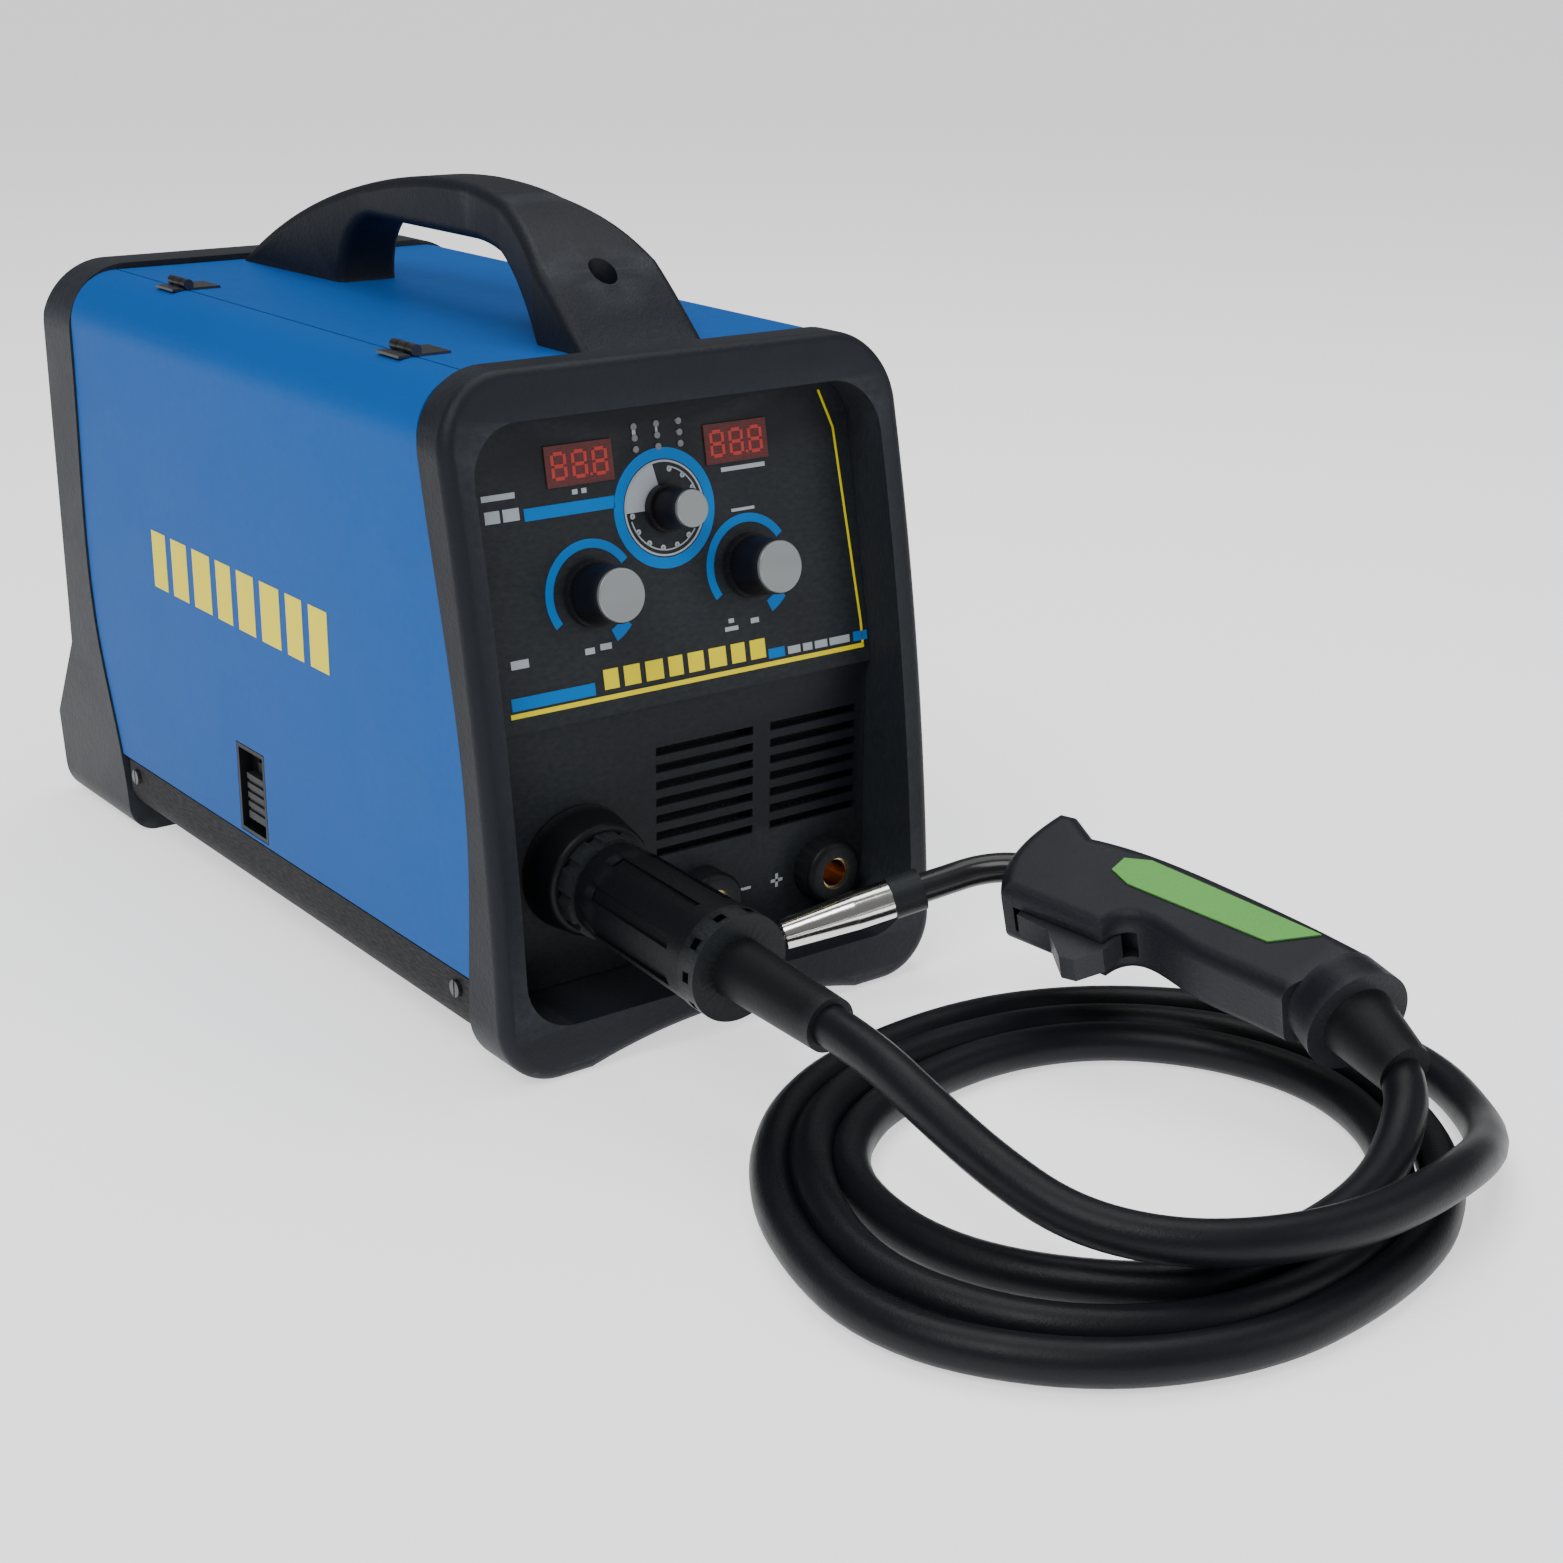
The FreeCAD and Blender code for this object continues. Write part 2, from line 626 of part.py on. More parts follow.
def pole_brass(name):
    x = POLE_X[name]
    y0 = front(LOWER_PANEL_DEPTH) - POLE_PROUD + 2
    body = rod(POLE_BRASS_R, POLE_DEPTH + 18, (x, y0, POLE_Z), Y_AXIS)
    bore = rod(POLE_BORE_R, POLE_DEPTH, (x, y0, POLE_Z), Y_AXIS)
    return body.cut(bore)


# ---- Torch socket and connector ----
def socket_collar():
    collar = cone(COLLAR_R + 2, COLLAR_R - 1, COLLAR_LENGTH, (0, 0, 0), Z_AXIS)
    rim = [e for e in collar.Edges if e.BoundBox.ZMin > COLLAR_LENGTH - 0.1]
    collar = collar.makeFillet(3, rim)
    bore = rod(COLLAR_R - 5, COLLAR_LENGTH, (0, 0, 4), Z_AXIS)
    hole = rod(14.1, 40, (0, 0, -20), Z_AXIS)
    placed = on_gun(collar.cut(bore).cut(hole))
    y0 = front(LOWER_PANEL_DEPTH)
    return placed.cut(box(-HALF_W, HALF_W, y0, y0 + 20, 0, CASE_TOP))


def gun_socket():
    """Brass body of the torch socket, through the panel and the chassis plate."""
    y0 = front(LOWER_PANEL_DEPTH)
    y1 = front(CHASSIS_DEPTH)
    through = rod(13.0, y1 - y0 + 12, (GUN_X, y0 - 2, GUN_Z), Y_AXIS)
    block = box(GUN_X - 16, GUN_X + 16, y1 + SHEET, y1 + SHEET + 16, GUN_Z - 18, GUN_Z + 18)
    bore = rod(2.0, 120, (GUN_X, y0 - 20, GUN_Z), Y_AXIS)
    return joined([through, block]).cut(bore)


def connector_nut():
    start = 5.0
    body = rod(NUT_R - 1.0, NUT_LENGTH, (0, 0, start), Z_AXIS)
    body = body.common(rod(COLLAR_R - 5.6, COLLAR_LENGTH + 1 - start, (0, 0, start), Z_AXIS).fuse(
        rod(NUT_R - 1.0, NUT_LENGTH, (0, 0, COLLAR_LENGTH + 0.6), Z_AXIS)))
    flange = rod(NUT_R + 1.0, 9, (0, 0, COLLAR_LENGTH + 0.6), Z_AXIS)
    ribs = []
    for i in range(10):
        angle = 2 * math.pi * i / 10
        spot = ((NUT_R + 1.6) * math.cos(angle), (NUT_R + 1.6) * math.sin(angle), COLLAR_LENGTH - 1)
        ribs.append(rod(2.6, 14, spot, Z_AXIS))
    bore = rod(12.0, 60, (0, 0, 0), Z_AXIS)
    return on_gun(cut_all(joined([body, flange]), ribs + [bore]))


def grip_start():
    return COLLAR_LENGTH + 0.6 + NUT_LENGTH - 14.0


def connector_grip():
    """Moulded grip: a nose inside the nut, long grooves, and a slotted ring at its end."""
    start = grip_start()
    ring_start = start + GRIP_LENGTH
    nose = rod(11.5, start - 3, (0, 0, 4), Z_AXIS)
    neck = rod(GRIP_R - 2, 8, (0, 0, start), Z_AXIS)
    body = cone(GRIP_R - 1, GRIP_R, GRIP_LENGTH - 8, (0, 0, start + 8), Z_AXIS)
    ring = rod(RING_R, RING_LENGTH, (0, 0, ring_start), Z_AXIS)
    cuts = [rod(BOOT_R, RING_LENGTH + 1, (0, 0, ring_start), Z_AXIS), rod(2.0, 200, (0, 0, 0), Z_AXIS)]
    for i in range(8):
        groove = box(GRIP_R - 2.2, GRIP_R + 5, -3.2, 3.2, start + 14, ring_start - 10)
        groove.rotate(V(0, 0, 0), Z_AXIS, 45 * i + 22)
        cuts.append(groove)
    for i in range(10):
        slot = box(RING_R - 4, RING_R + 5, -2.4, 2.4, ring_start + 4, ring_start + RING_LENGTH - 3)
        slot.rotate(V(0, 0, 0), Z_AXIS, 36 * i)
        cuts.append(slot)
    return on_gun(cut_all(joined([nose, neck, body, ring]), cuts))


def boot_end():
    return grip_start() + GRIP_LENGTH + RING_LENGTH + BOOT_LENGTH


def connector_boot():
    start = grip_start() + GRIP_LENGTH
    root = rod(BOOT_R, RING_LENGTH, (0, 0, start), Z_AXIS)
    body = joined([root, cone(BOOT_R, BOOT_END_R, BOOT_LENGTH, (0, 0, start + RING_LENGTH), Z_AXIS)])
    return on_gun(body.cut(rod(CABLE_R, 12, (0, 0, boot_end() - 12), Z_AXIS)))


# ---- Cable ----
def gun_point(distance):
    """A point on the connector's axis, this far out of the panel."""
    dip = math.radians(GUN_DIP)
    y = front(LOWER_PANEL_DEPTH) - distance * math.cos(dip)
    return (GUN_X, y, GUN_Z - distance * math.sin(dip))


def ahead(place):
    """The point this far across, ahead of the case and up."""
    across, distance, up = place
    return (across, front(-distance), up)


def torch_point(along, across, up):
    turn = FreeCAD.Rotation(TORCH_YAW, TORCH_PITCH, TORCH_ROLL)
    return tuple(V(*ahead(TORCH_AT)) + turn.multVec(V(along, across, up)))


# Points as X, ahead of the case, Z.
LEAD_ROUTE = [
    (-56.0, 202.5, 60.0), (-53.0, 236.5, 49.0), (-46.0, 270.5, 40.0), (-27.0, 300.5, 37.0),
    (3.0, 322.5, 37.0), (40.0, 333.5, 37.0), (80.0, 333.5, 37.0), (120.0, 323.5, 33.0),
    (157.0, 303.5, 21.0), (190.0, 273.5, 10.0), (211.0, 236.5, 9.2), (216.0, 196.5, 9.2),
    (204.0, 158.5, 9.2),
]
TAIL_ROUTE = [
    (6.0, 308.5, 20.0), (46.0, 311.5, 21.0), (84.0, 305.5, 25.0), (117.0, 290.5, 32.0),
]


def rounded_route(points):
    """Straight runs joined by tangent arcs."""
    edges = []
    places = [V(*p) for p in points]
    start = places[0]
    for before, corner, after in zip(places, places[1:], places[2:]):
        inbound = before - corner
        onward = after - corner
        half_turn = (math.pi - inbound.getAngle(onward)) / 2
        setback = 0.45 * min(inbound.Length, onward.Length)
        near = corner + inbound.normalize() * setback
        far = corner + onward.normalize() * setback
        inward = (inbound + onward).normalize()
        radius = setback / math.tan(half_turn)
        middle = corner + inward * (radius / math.cos(half_turn) - radius)
        edges.append(Part.LineSegment(start, near).toShape())
        edges.append(Part.Arc(near, middle, far).toShape())
        start = far
    edges.append(Part.LineSegment(start, places[-1]).toShape())
    return Part.Wire(edges)


def cable_along(points):
    wire = rounded_route(points)
    direction = V(*points[1]) - V(*points[0])
    section = Part.Wire(Part.makeCircle(CABLE_R, V(*points[0]), direction))
    return wire.makePipeShell([section], True, False)


def cable_loose():
    """The loose stretches: from the connector to the coil, and from the coil to the torch."""
    lead = cable_along([gun_point(boot_end()), gun_point(boot_end() + 24)] + [ahead(p) for p in LEAD_ROUTE])
    tail = cable_along([ahead(p) for p in TAIL_ROUTE] + [rear_point(46)])
    return Part.makeCompound([lead, tail])


def cable_coil():
    ring = ellipse_block(COIL_OUTER).cut(ellipse_block(COIL_INNER))
    edges = [e for e in ring.Edges if e.BoundBox.ZLength < 1]
    return ring.makeFillet(7.0, edges)


def ellipse_block(radii):
    path = Part.Ellipse(V(COIL_AT[0], front(-COIL_AT[1]), 0), radii[0], radii[1])
    return Part.Face(Part.Wire(path.toShape())).extrude(V(0, 0, COIL_HEIGHT))


# ---- Torch ----
def torch_handle():
    top_n, low_n = TORCH_HALF, -TORCH_HALF
    outline = [
        curve([(0, -20, low_n), (30, -25, low_n), (70, -30, low_n), (112, -33, low_n), (140, -31, low_n)]),
        line((140, -31, low_n), (154, -40, low_n)),
        line((154, -40, low_n), (163, -39, low_n)),
        curve([(163, -39, low_n), (167, -22, low_n), (167, -2, low_n), (158, 19, low_n)]),
        line((158, 19, low_n), (104, 21, low_n)),
        curve([(104, 21, low_n), (98, 10, low_n), (70, 13, low_n), (35, 17, low_n), (0, 21, low_n)]),
        line((0, 21, low_n), (0, -20, low_n)),
    ]
    body = face_of(outline).extrude(V(0, 0, top_n - low_n))
    long_edges = [e for e in body.Edges if e.BoundBox.ZLength < 1 and e.BoundBox.XMax > 1]
    body = body.makeFillet(7.0, long_edges)
    neck_seat = neck_tube(NECK_R)
    trigger_slot = box(94, 152, 5, 40, -7.3, 7.3)
    collar_seat = on_rear(rod(TORCH_COLLAR_R + 8, 60, (-54, 0, 0), X_AXIS))
    return cut_all(body, [neck_seat, trigger_slot, collar_seat])


def on_rear(shape):
    """Turns a shape about the middle of the handle's rear end, which droops towards the trigger side."""
    placed = shape.copy()
    placed.rotate(V(0, 0, 0), Z_AXIS, -REAR_TURN)
    return placed


def rear_point(distance):
    turn = math.radians(REAR_TURN)
    return torch_point(-distance * math.cos(turn), distance * math.sin(turn), 0)


def torch_collar():
    ring = cone(TORCH_COLLAR_R, TORCH_COLLAR_R - 2, 18, (-12, 0, 0), X_AXIS)
    return on_rear(ring.cut(rod(16.5, 30, (-16, 0, 0), X_AXIS)))


def torch_inlay():
    """Soft strip let into both cheeks near the back edge of the handle."""
    strips = []
    for side in (-1, 1):
        z0 = side * TORCH_HALF
        pts = [(18, -17.5), (106, -26), (118, -22), (119, -13), (108, -8), (36, -3.5)]
        face = polygon([(s, t, z0 - 1.5 * side) for s, t in pts])
        strips.append(face.extrude(V(0, 0, 2.3 * side)))
    return strips


def torch_trigger():
    pts = [(100, 12), (148, 12), (148, 22), (130, 24), (117, 36), (110, 35), (102, 24)]
    blade = polygon([(s, t, -6.5) for s, t in pts]).extrude(V(0, 0, 13))
    return blade.cut(rod(1.5 + RUNNING, 20, (143, 16, -10), Z_AXIS))


def neck_places():
    """Start, start of the bend, middle of it, end of it and end of the tube, in the torch's plane."""
    first, last = math.radians(NECK_HEADING), math.radians(NECK_BEND)
    middle = (first + last) / 2
    start = V(NECK_START[0], NECK_START[1], 0)
    centre = start + V(-math.sin(first), math.cos(first), 0) * NECK_BEND_R

    def on_bend(angle):
        return centre + V(math.sin(angle), -math.cos(angle), 0) * NECK_BEND_R

    root = start - V(math.cos(first), math.sin(first), 0) * 24
    return [root, start, on_bend(middle), on_bend(last), on_bend(last) + neck_out() * NECK_RUN]


def neck_tube(radius):
    root, start, middle, end, tip = neck_places()
    path = Part.Wire([line(root, start), arc(start, middle, end), line(end, tip)])
    section = Part.Wire(Part.makeCircle(radius, root, start - root))
    return path.makePipeShell([section], True, False)


def torch_neck():
    return neck_tube(NECK_R)


def neck_out():
    bend = math.radians(NECK_BEND)
    return V(math.cos(bend), math.sin(bend), 0)


def along_neck(distance):
    return tuple(neck_places()[-1] + neck_out() * distance)


def torch_insulator():
    return rod(9.8, INSULATOR_LENGTH, along_neck(0), neck_out())


def torch_nozzle():
    start = INSULATOR_LENGTH
    base = rod(NOZZLE_R, 18, along_neck(start), neck_out())
    taper = cone(NOZZLE_R, NOZZLE_TIP_R, NOZZLE_LENGTH - 18, along_neck(start + 18), neck_out())
    bore = rod(NOZZLE_TIP_R - 1.5, NOZZLE_LENGTH + 10, along_neck(start - 2), neck_out())
    return joined([base, taper]).cut(bore)


def contact_tip():
    start = INSULATOR_LENGTH
    base = rod(4.0, 22, along_neck(start), neck_out())
    body = joined([base, rod(TIP_R, 24, along_neck(start + 22), neck_out())])
    return body.cut(rod(0.6, 80, along_neck(start - 2), neck_out()))


def torch_boot():
    root = rod(16.5, 18, (-12, 0, 0), X_AXIS)
    return on_rear(joined([root, cone(12.0, 16.5, 34, (-46, 0, 0), X_AXIS)]))


# ---- Carry handle, hinges and latch ----
def carry_handle():
    """Arched grip on two feet: the front leg is broad, and the tail runs back low."""
    x = -HANDLE_FOOT_W
    z = CASE_TOP
    start = front(HANDLE_START)
    tail = (x, front(430), z)
    outer = [curve([
        (x, start, z), (x, front(95), z + 26), (x, front(121), z + 44), (x, front(150), z + HANDLE_TOP - 7),
        (x, front(205), z + HANDLE_TOP), (x, front(270), z + HANDLE_TOP - 5), (x, front(330), z + 44),
        (x, front(385), z + 24), tail,
    ])]
    inner = [
        line(tail, (x, front(322), z)),
        arc((x, front(322), z), (x, front(313), z + 25), (x, front(290), z + 36)),
        line((x, front(290), z + 36), (x, front(192), z + 36)),
        arc((x, front(192), z + 36), (x, front(142), z + 26), (x, front(106), z)),
        line((x, front(106), z), (x, start, z)),
    ]
    side = face_of(outer + inner).extrude(V(2 * HANDLE_FOOT_W, 0, 0))
    foot, grip = HANDLE_FOOT_W / 2, HANDLE_GRIP_W / 2
    half = [(foot, 0), (foot, 108), (grip + 3, 160), (grip, 195), (grip, 300), (HANDLE_TAIL_W / 2, 440)]
    one_side = [(w, front(d), z - 5) for w, d in half]
    plan = polygon(one_side + [(-across, y, low) for across, y, low in reversed(one_side)])
    body = side.common(plan.extrude(V(0, 0, HANDLE_TOP + 20)))
    edges = []
    for edge in body.Edges:
        reach = edge.BoundBox
        if reach.ZMin > z - 0.1 and reach.ZLength > 3 and reach.YLength > 3 and reach.XLength < 25:
            edges.append(edge)
    body = body.makeFillet(HANDLE_EDGE_R, edges)
    holes = []
    for y, up in handle_screw_places():
        holes.append(rod(6.5, HANDLE_TOP, (0, y, z + up), Z_AXIS))
        holes.append(rod(2.1, HANDLE_TOP, (0, y, z - 1), Z_AXIS))
    return cut_all(body, holes)


def handle_screw_places():
    return [(front(101), 18.0), (front(372), 14.0)]


def hinge_fixed(depth):
    """Leaf on the cover, with the two outer knuckles and the pin."""
    y = front(depth)
    half = HINGE_LENGTH / 2
    third = HINGE_LENGTH / 6
    x0 = SEAM_X + 1.0
    leaf = box(x0, x0 + LEAF_COVER_W, y - half, y + half, CASE_TOP, CASE_TOP + LEAF_THICK)
    gap = box(x0 - 1, SEAM_X + KNUCKLE_R + 0.6, y - third - 0.3, y + third + 0.3, CASE_TOP - 1, PINCH_Z + 5)
    ends = []
    for y0, y1 in ((y - half, y - third - 0.3), (y + third + 0.3, y + half)):
        ends.append(box(x0, x0 + 1.5, y0, y1, CASE_TOP, PINCH_Z))
        ends.append(rod(KNUCKLE_R, y1 - y0, (SEAM_X, y0, PINCH_Z), Y_AXIS))
    pin = rod(PIN_R, HINGE_LENGTH, (SEAM_X, y - half, PINCH_Z), Y_AXIS)
    return joined([leaf.cut(gap)] + ends + [pin])


def hinge_door(depth):
    """Leaf on the door, with the middle knuckle."""
    y = front(depth)
    half = HINGE_LENGTH / 2
    third = HINGE_LENGTH / 6
    x1 = SEAM_X - KNUCKLE_R - 0.4
    leaf = box(x1 - LEAF_DOOR_W, x1, y - half, y + half, CASE_TOP, CASE_TOP + LEAF_THICK)
    strap = box(x1 - 1, SEAM_X - 0.8, y - third, y + third, CASE_TOP, CASE_TOP + LEAF_THICK)
    web = box(SEAM_X - 2.3, SEAM_X - 0.8, y - third, y + third, CASE_TOP, PINCH_Z)
    body = joined([leaf, strap, web, rod(KNUCKLE_R, 2 * third, (SEAM_X, y - third, PINCH_Z), Y_AXIS)])
    return body.cut(rod(PIN_R + RUNNING, 2 * half, (SEAM_X, y - half, PINCH_Z), Y_AXIS))


def latch_window(gap):
    y = front(LATCH_DEPTH)
    half_w = LATCH_W / 2 + gap
    half_h = LATCH_H / 2 + gap
    return box(-HALF_W - 5, -HALF_W + 10, y - half_w, y + half_w, LATCH_Z - half_h, LATCH_Z + half_h)


def latch_cup():
    """Recessed cup in the door, open towards the hand."""
    y = front(LATCH_DEPTH)
    half_w, half_h = LATCH_W / 2, LATCH_H / 2
    x0, x1 = -HALF_W, -HALF_W + LATCH_RECESS
    cup = box(x0, x1, y - half_w, y + half_w, LATCH_Z - half_h, LATCH_Z + half_h)
    low, high = LATCH_Z - half_h, LATCH_Z + half_h
    flange = box(x0 + SHEET, x0 + SHEET + 1.5, y - half_w - 4, y + half_w + 4, low - 0.4, high + 4)
    wall = LATCH_WALL
    space = box(x0 - 1, x1 - wall, y - half_w + wall, y + half_w - wall, low + wall, high - wall)
    slot = box(x1 - 5, x1 + 1, y - 4.2, y + 4.2, LATCH_Z - 14.2, LATCH_Z + 14.2 + LATCH_TRAVEL)
    return cup.fuse(flange).cut(space).cut(slot).removeSplitter()


def latch_slide():
    """Thumb slide with a stem through the cup and a tongue behind it."""
    y = front(LATCH_DEPTH)
    x1 = -HALF_W + LATCH_RECESS
    thumb = box(x1 - LATCH_WALL - 5.2, x1 - LATCH_WALL - 0.3, y - 9, y + 9, LATCH_Z - 16, LATCH_Z + 8)
    ridges = []
    for i in range(4):
        low = LATCH_Z - 12 + 5 * i
        ridges.append(box(x1 - 9, x1 - 6.2, y - 10, y + 10, low, low + 2))
    stem = box(x1 - 3, x1 + 1, y - 4, y + 4, LATCH_Z - 14, LATCH_Z + 14)
    tongue = box(x1 + 0.3, x1 + 3, y - 8, y + 8, LATCH_Z - 20, LATCH_Z + 16)
    return joined([cut_all(thumb, ridges), stem, tongue])


# ---- Wire compartment ----
def spool_start():
    return DIVIDER_X - SHEET - 8.0


def spool_hub():
    """Drum on the divider that the spool turns on, with the stud for its nut."""
    x0 = DIVIDER_X - SHEET
    y = front(SPOOL_DEPTH)
    stop = rod(HUB_R + 8, 7.7, (x0, y, SPOOL_Z), V(-1, 0, 0))
    drum = rod(HUB_R, SPOOL_W + 9, (x0, y, SPOOL_Z), V(-1, 0, 0))
    stud = rod(HUB_STUD_R, SPOOL_W + 22, (x0, y, SPOOL_Z), V(-1, 0, 0))
    return joined([stop, drum, stud])


def spool():
    x0 = spool_start() - 0.1
    y = front(SPOOL_DEPTH)
    core = rod(HUB_R + 6, SPOOL_W, (x0, y, SPOOL_Z), V(-1, 0, 0))
    flanges = []
    for x in (x0, x0 - SPOOL_W + SPOOL_FLANGE):
        flange = rod(SPOOL_R, SPOOL_FLANGE, (x, y, SPOOL_Z), V(-1, 0, 0))
        for i in range(6):
            angle = math.radians(60 * i + 30)
            spot = (x + 5, y + 66 * math.cos(angle), SPOOL_Z + 66 * math.sin(angle))
            flange = flange.cut(rod(13, 20, spot, V(-1, 0, 0)))
        flanges.append(flange)
    return joined([core] + flanges).cut(rod(HUB_R + RUNNING, 90, (x0 + 10, y, SPOOL_Z), V(-1, 0, 0)))


def wire_winding():
    x0 = spool_start() - 0.1 - SPOOL_FLANGE
    y = front(SPOOL_DEPTH)
    return pipe(WINDING_R, HUB_R + 6, SPOOL_W - 2 * SPOOL_FLANGE, (x0, y, SPOOL_Z), V(-1, 0, 0))


def spool_nut():
    x0 = spool_start() - SPOOL_W - 4.5
    y = front(SPOOL_DEPTH)
    nut = cone(HUB_R + 14, HUB_R + 8, 9, (x0, y, SPOOL_Z), V(-1, 0, 0))
    notches = []
    for i in range(6):
        angle = math.radians(60 * i)
        spot = (x0 + 5, y + (HUB_R + 14) * math.cos(angle), SPOOL_Z + (HUB_R + 14) * math.sin(angle))
        notches.append(rod(7, 30, spot, V(-1, 0, 0)))
    bore = rod(HUB_STUD_R + RUNNING, 60, (x0 + 10, y, SPOOL_Z), V(-1, 0, 0))
    return cut_all(nut, notches + [bore])


def feed_face_x():
    return DIVIDER_X - SHEET - FEED_PLATE_OFF - FEED_PLATE_THICK


def low_roll_z():
    return GUN_Z - ROLL_R - ROLL_NIP


def high_roll_z():
    return GUN_Z + ROLL_R + ROLL_NIP


def feed_plate():
    x0 = feed_face_x()
    x1 = x0 + FEED_PLATE_THICK
    y = front(FEED_DEPTH)
    plate = box(x0, x1, y - 46, y + 48, GUN_Z - 42, GUN_Z + 32)
    legs = []
    for dy in (-38, 38):
        for dz in (-34, 24):
            legs.append(rod(5, FEED_PLATE_OFF, (x1, y + dy, GUN_Z + dz), X_AXIS))
    outlet = box(GUN_X - 8, x0, y - 44, y - 28, GUN_Z - 8, GUN_Z + 8)
    inlet = box(GUN_X - 8, x0, y + 24, y + 40, GUN_Z - 8, GUN_Z + 6)
    post = rod(4.0, GUN_X - 10 - x0, (x0, y + 36, high_roll_z() - 1), X_AXIS)
    bore = rod(1.5, 200, (GUN_X, y - 80, GUN_Z), Y_AXIS)
    drive = rod(FEED_SHAFT_R + 1.5, 60, (x0 - 10, y, low_roll_z()), X_AXIS)
    return cut_all(joined([plate, outlet, inlet] + legs), [bore, drive])


def arm_pivot():
    return front(FEED_DEPTH) + 34.0, high_roll_z() + 2.0


def arm_pin():
    y, z = arm_pivot()
    x0 = feed_face_x()
    return rod(3.0, x0 - GUN_X + 12, (GUN_X - 12, y, z), X_AXIS)


def feed_motor():
    """Gear motor behind the divider, with the shaft that carries the drive roll."""
    x0 = DIVIDER_X
    y = front(FEED_DEPTH)
    z = low_roll_z()
    case = rod(MOTOR_R, 62, (x0 + 28, y, z + 8), X_AXIS)
    gear = box(x0, x0 + 28, y - 26, y + 26, z - 18, z + 40)
    tail = rod(12, 6, (x0 + 90, y, z + 8), X_AXIS)
    return joined([case, gear, tail]).cut(rod(FEED_SHAFT_R + RUNNING, 30, (x0 - 1, y, z), X_AXIS))


def drive_roll():
    y, z = front(FEED_DEPTH), low_roll_z()
    roll = rod(ROLL_R, ROLL_W, (GUN_X - ROLL_W / 2, y, z), X_AXIS)
    shaft = rod(FEED_SHAFT_R, DIVIDER_X + 20 - GUN_X, (GUN_X, y, z), X_AXIS)
    cap = rod(8.5, 5, (GUN_X - ROLL_W / 2 - 5, y, z), X_AXIS)
    notch = pipe(ROLL_R + 1, ROLL_R - 0.3, 1.2, (GUN_X - 0.6, y, z), X_AXIS)
    ridges = []
    for i in range(8):
        angle = math.radians(45 * i)
        spot = (GUN_X - ROLL_W / 2 - 6, y + 9.5 * math.cos(angle), z + 9.5 * math.sin(angle))
        ridges.append(rod(2, 6, spot, X_AXIS))
    return cut_all(joined([roll, shaft, cap]), [notch] + ridges)


def pressure_arm():
    """Fork over the upper roll, hinged behind it."""
    y, z = arm_pivot()
    roll_y, roll_z = front(FEED_DEPTH), high_roll_z()
    low, high = roll_z - 6, roll_z + 28
    x0, x1 = GUN_X - 11, GUN_X + 11
    cheeks = []
    for a, b in ((x0, x0 + 4), (x1 - 4, x1)):
        cheeks.append(box(a, b, roll_y - 20, y + 7, low + 2, high - 8))
    top = box(x0, x1, roll_y - 20, y + 7, roll_z + 19, high - 4)
    body = joined(cheeks + [top])
    cuts = [
        rod(3.0 + RUNNING, 60, (x0 - 10, y, z), X_AXIS),
        rod(2.5, 60, (x0 - 10, roll_y, roll_z), X_AXIS),
        rod(2.5 + RUNNING, 40, (GUN_X, roll_y - 12, roll_z + 12), Z_AXIS),
    ]
    return cut_all(body, cuts)


def pressure_axle():
    return rod(2.5, 22, (GUN_X - 11, front(FEED_DEPTH), high_roll_z()), X_AXIS)


def pressure_roll():
    y, z = front(FEED_DEPTH), high_roll_z()
    return pipe(ROLL_R, 2.5 + RUNNING, ROLL_W, (GUN_X - ROLL_W / 2, y, z), X_AXIS)


def tension_knob():
    y, z = front(FEED_DEPTH) - 12, high_roll_z()
    stem = rod(2.5, 24, (GUN_X, y, z + 16.5), Z_AXIS)
    grip = cone(11, 9, 24, (GUN_X, y, z + 25), Z_AXIS)
    flutes = []
    for i in range(10):
        angle = math.radians(36 * i)
        spot = (GUN_X + 11.5 * math.cos(angle), y + 11.5 * math.sin(angle), z + 24)
        flutes.append(rod(1.8, 40, spot, Z_AXIS))
    return cut_all(joined([stem, grip]), flutes)


# ---- Power side ----
def heatsink():
    x0, x1 = 0.0, 96.0
    y0, y1 = front(235), back(110)
    z0 = 60.0
    base = box(x0, x1, y0, y1, z0 + 60, z0 + 68)
    fins = [box(x0 + i * 11.5, x0 + i * 11.5 + 3, y0, y1, z0, z0 + 60) for i in range(9)]
    feet = [box(x, x + 4, y0, y1, TRAY_BOTTOM + SHEET, z0) for x in (x0, x1 - 4)]
    body = joined([base] + fins + feet)
    return body.common(box(x0, x1, y0, y1, 0, CASE_TOP))


def transformer():
    """Potted transformer: a core with its winding round the middle leg."""
    y0 = front(186)
    core = box(4, 84, y0, y0 + 36, TRAY_BOTTOM + SHEET, 100)
    winding = box(21, 67, y0 - 12, y0 + 48, 34, 82)
    return joined([core, winding])


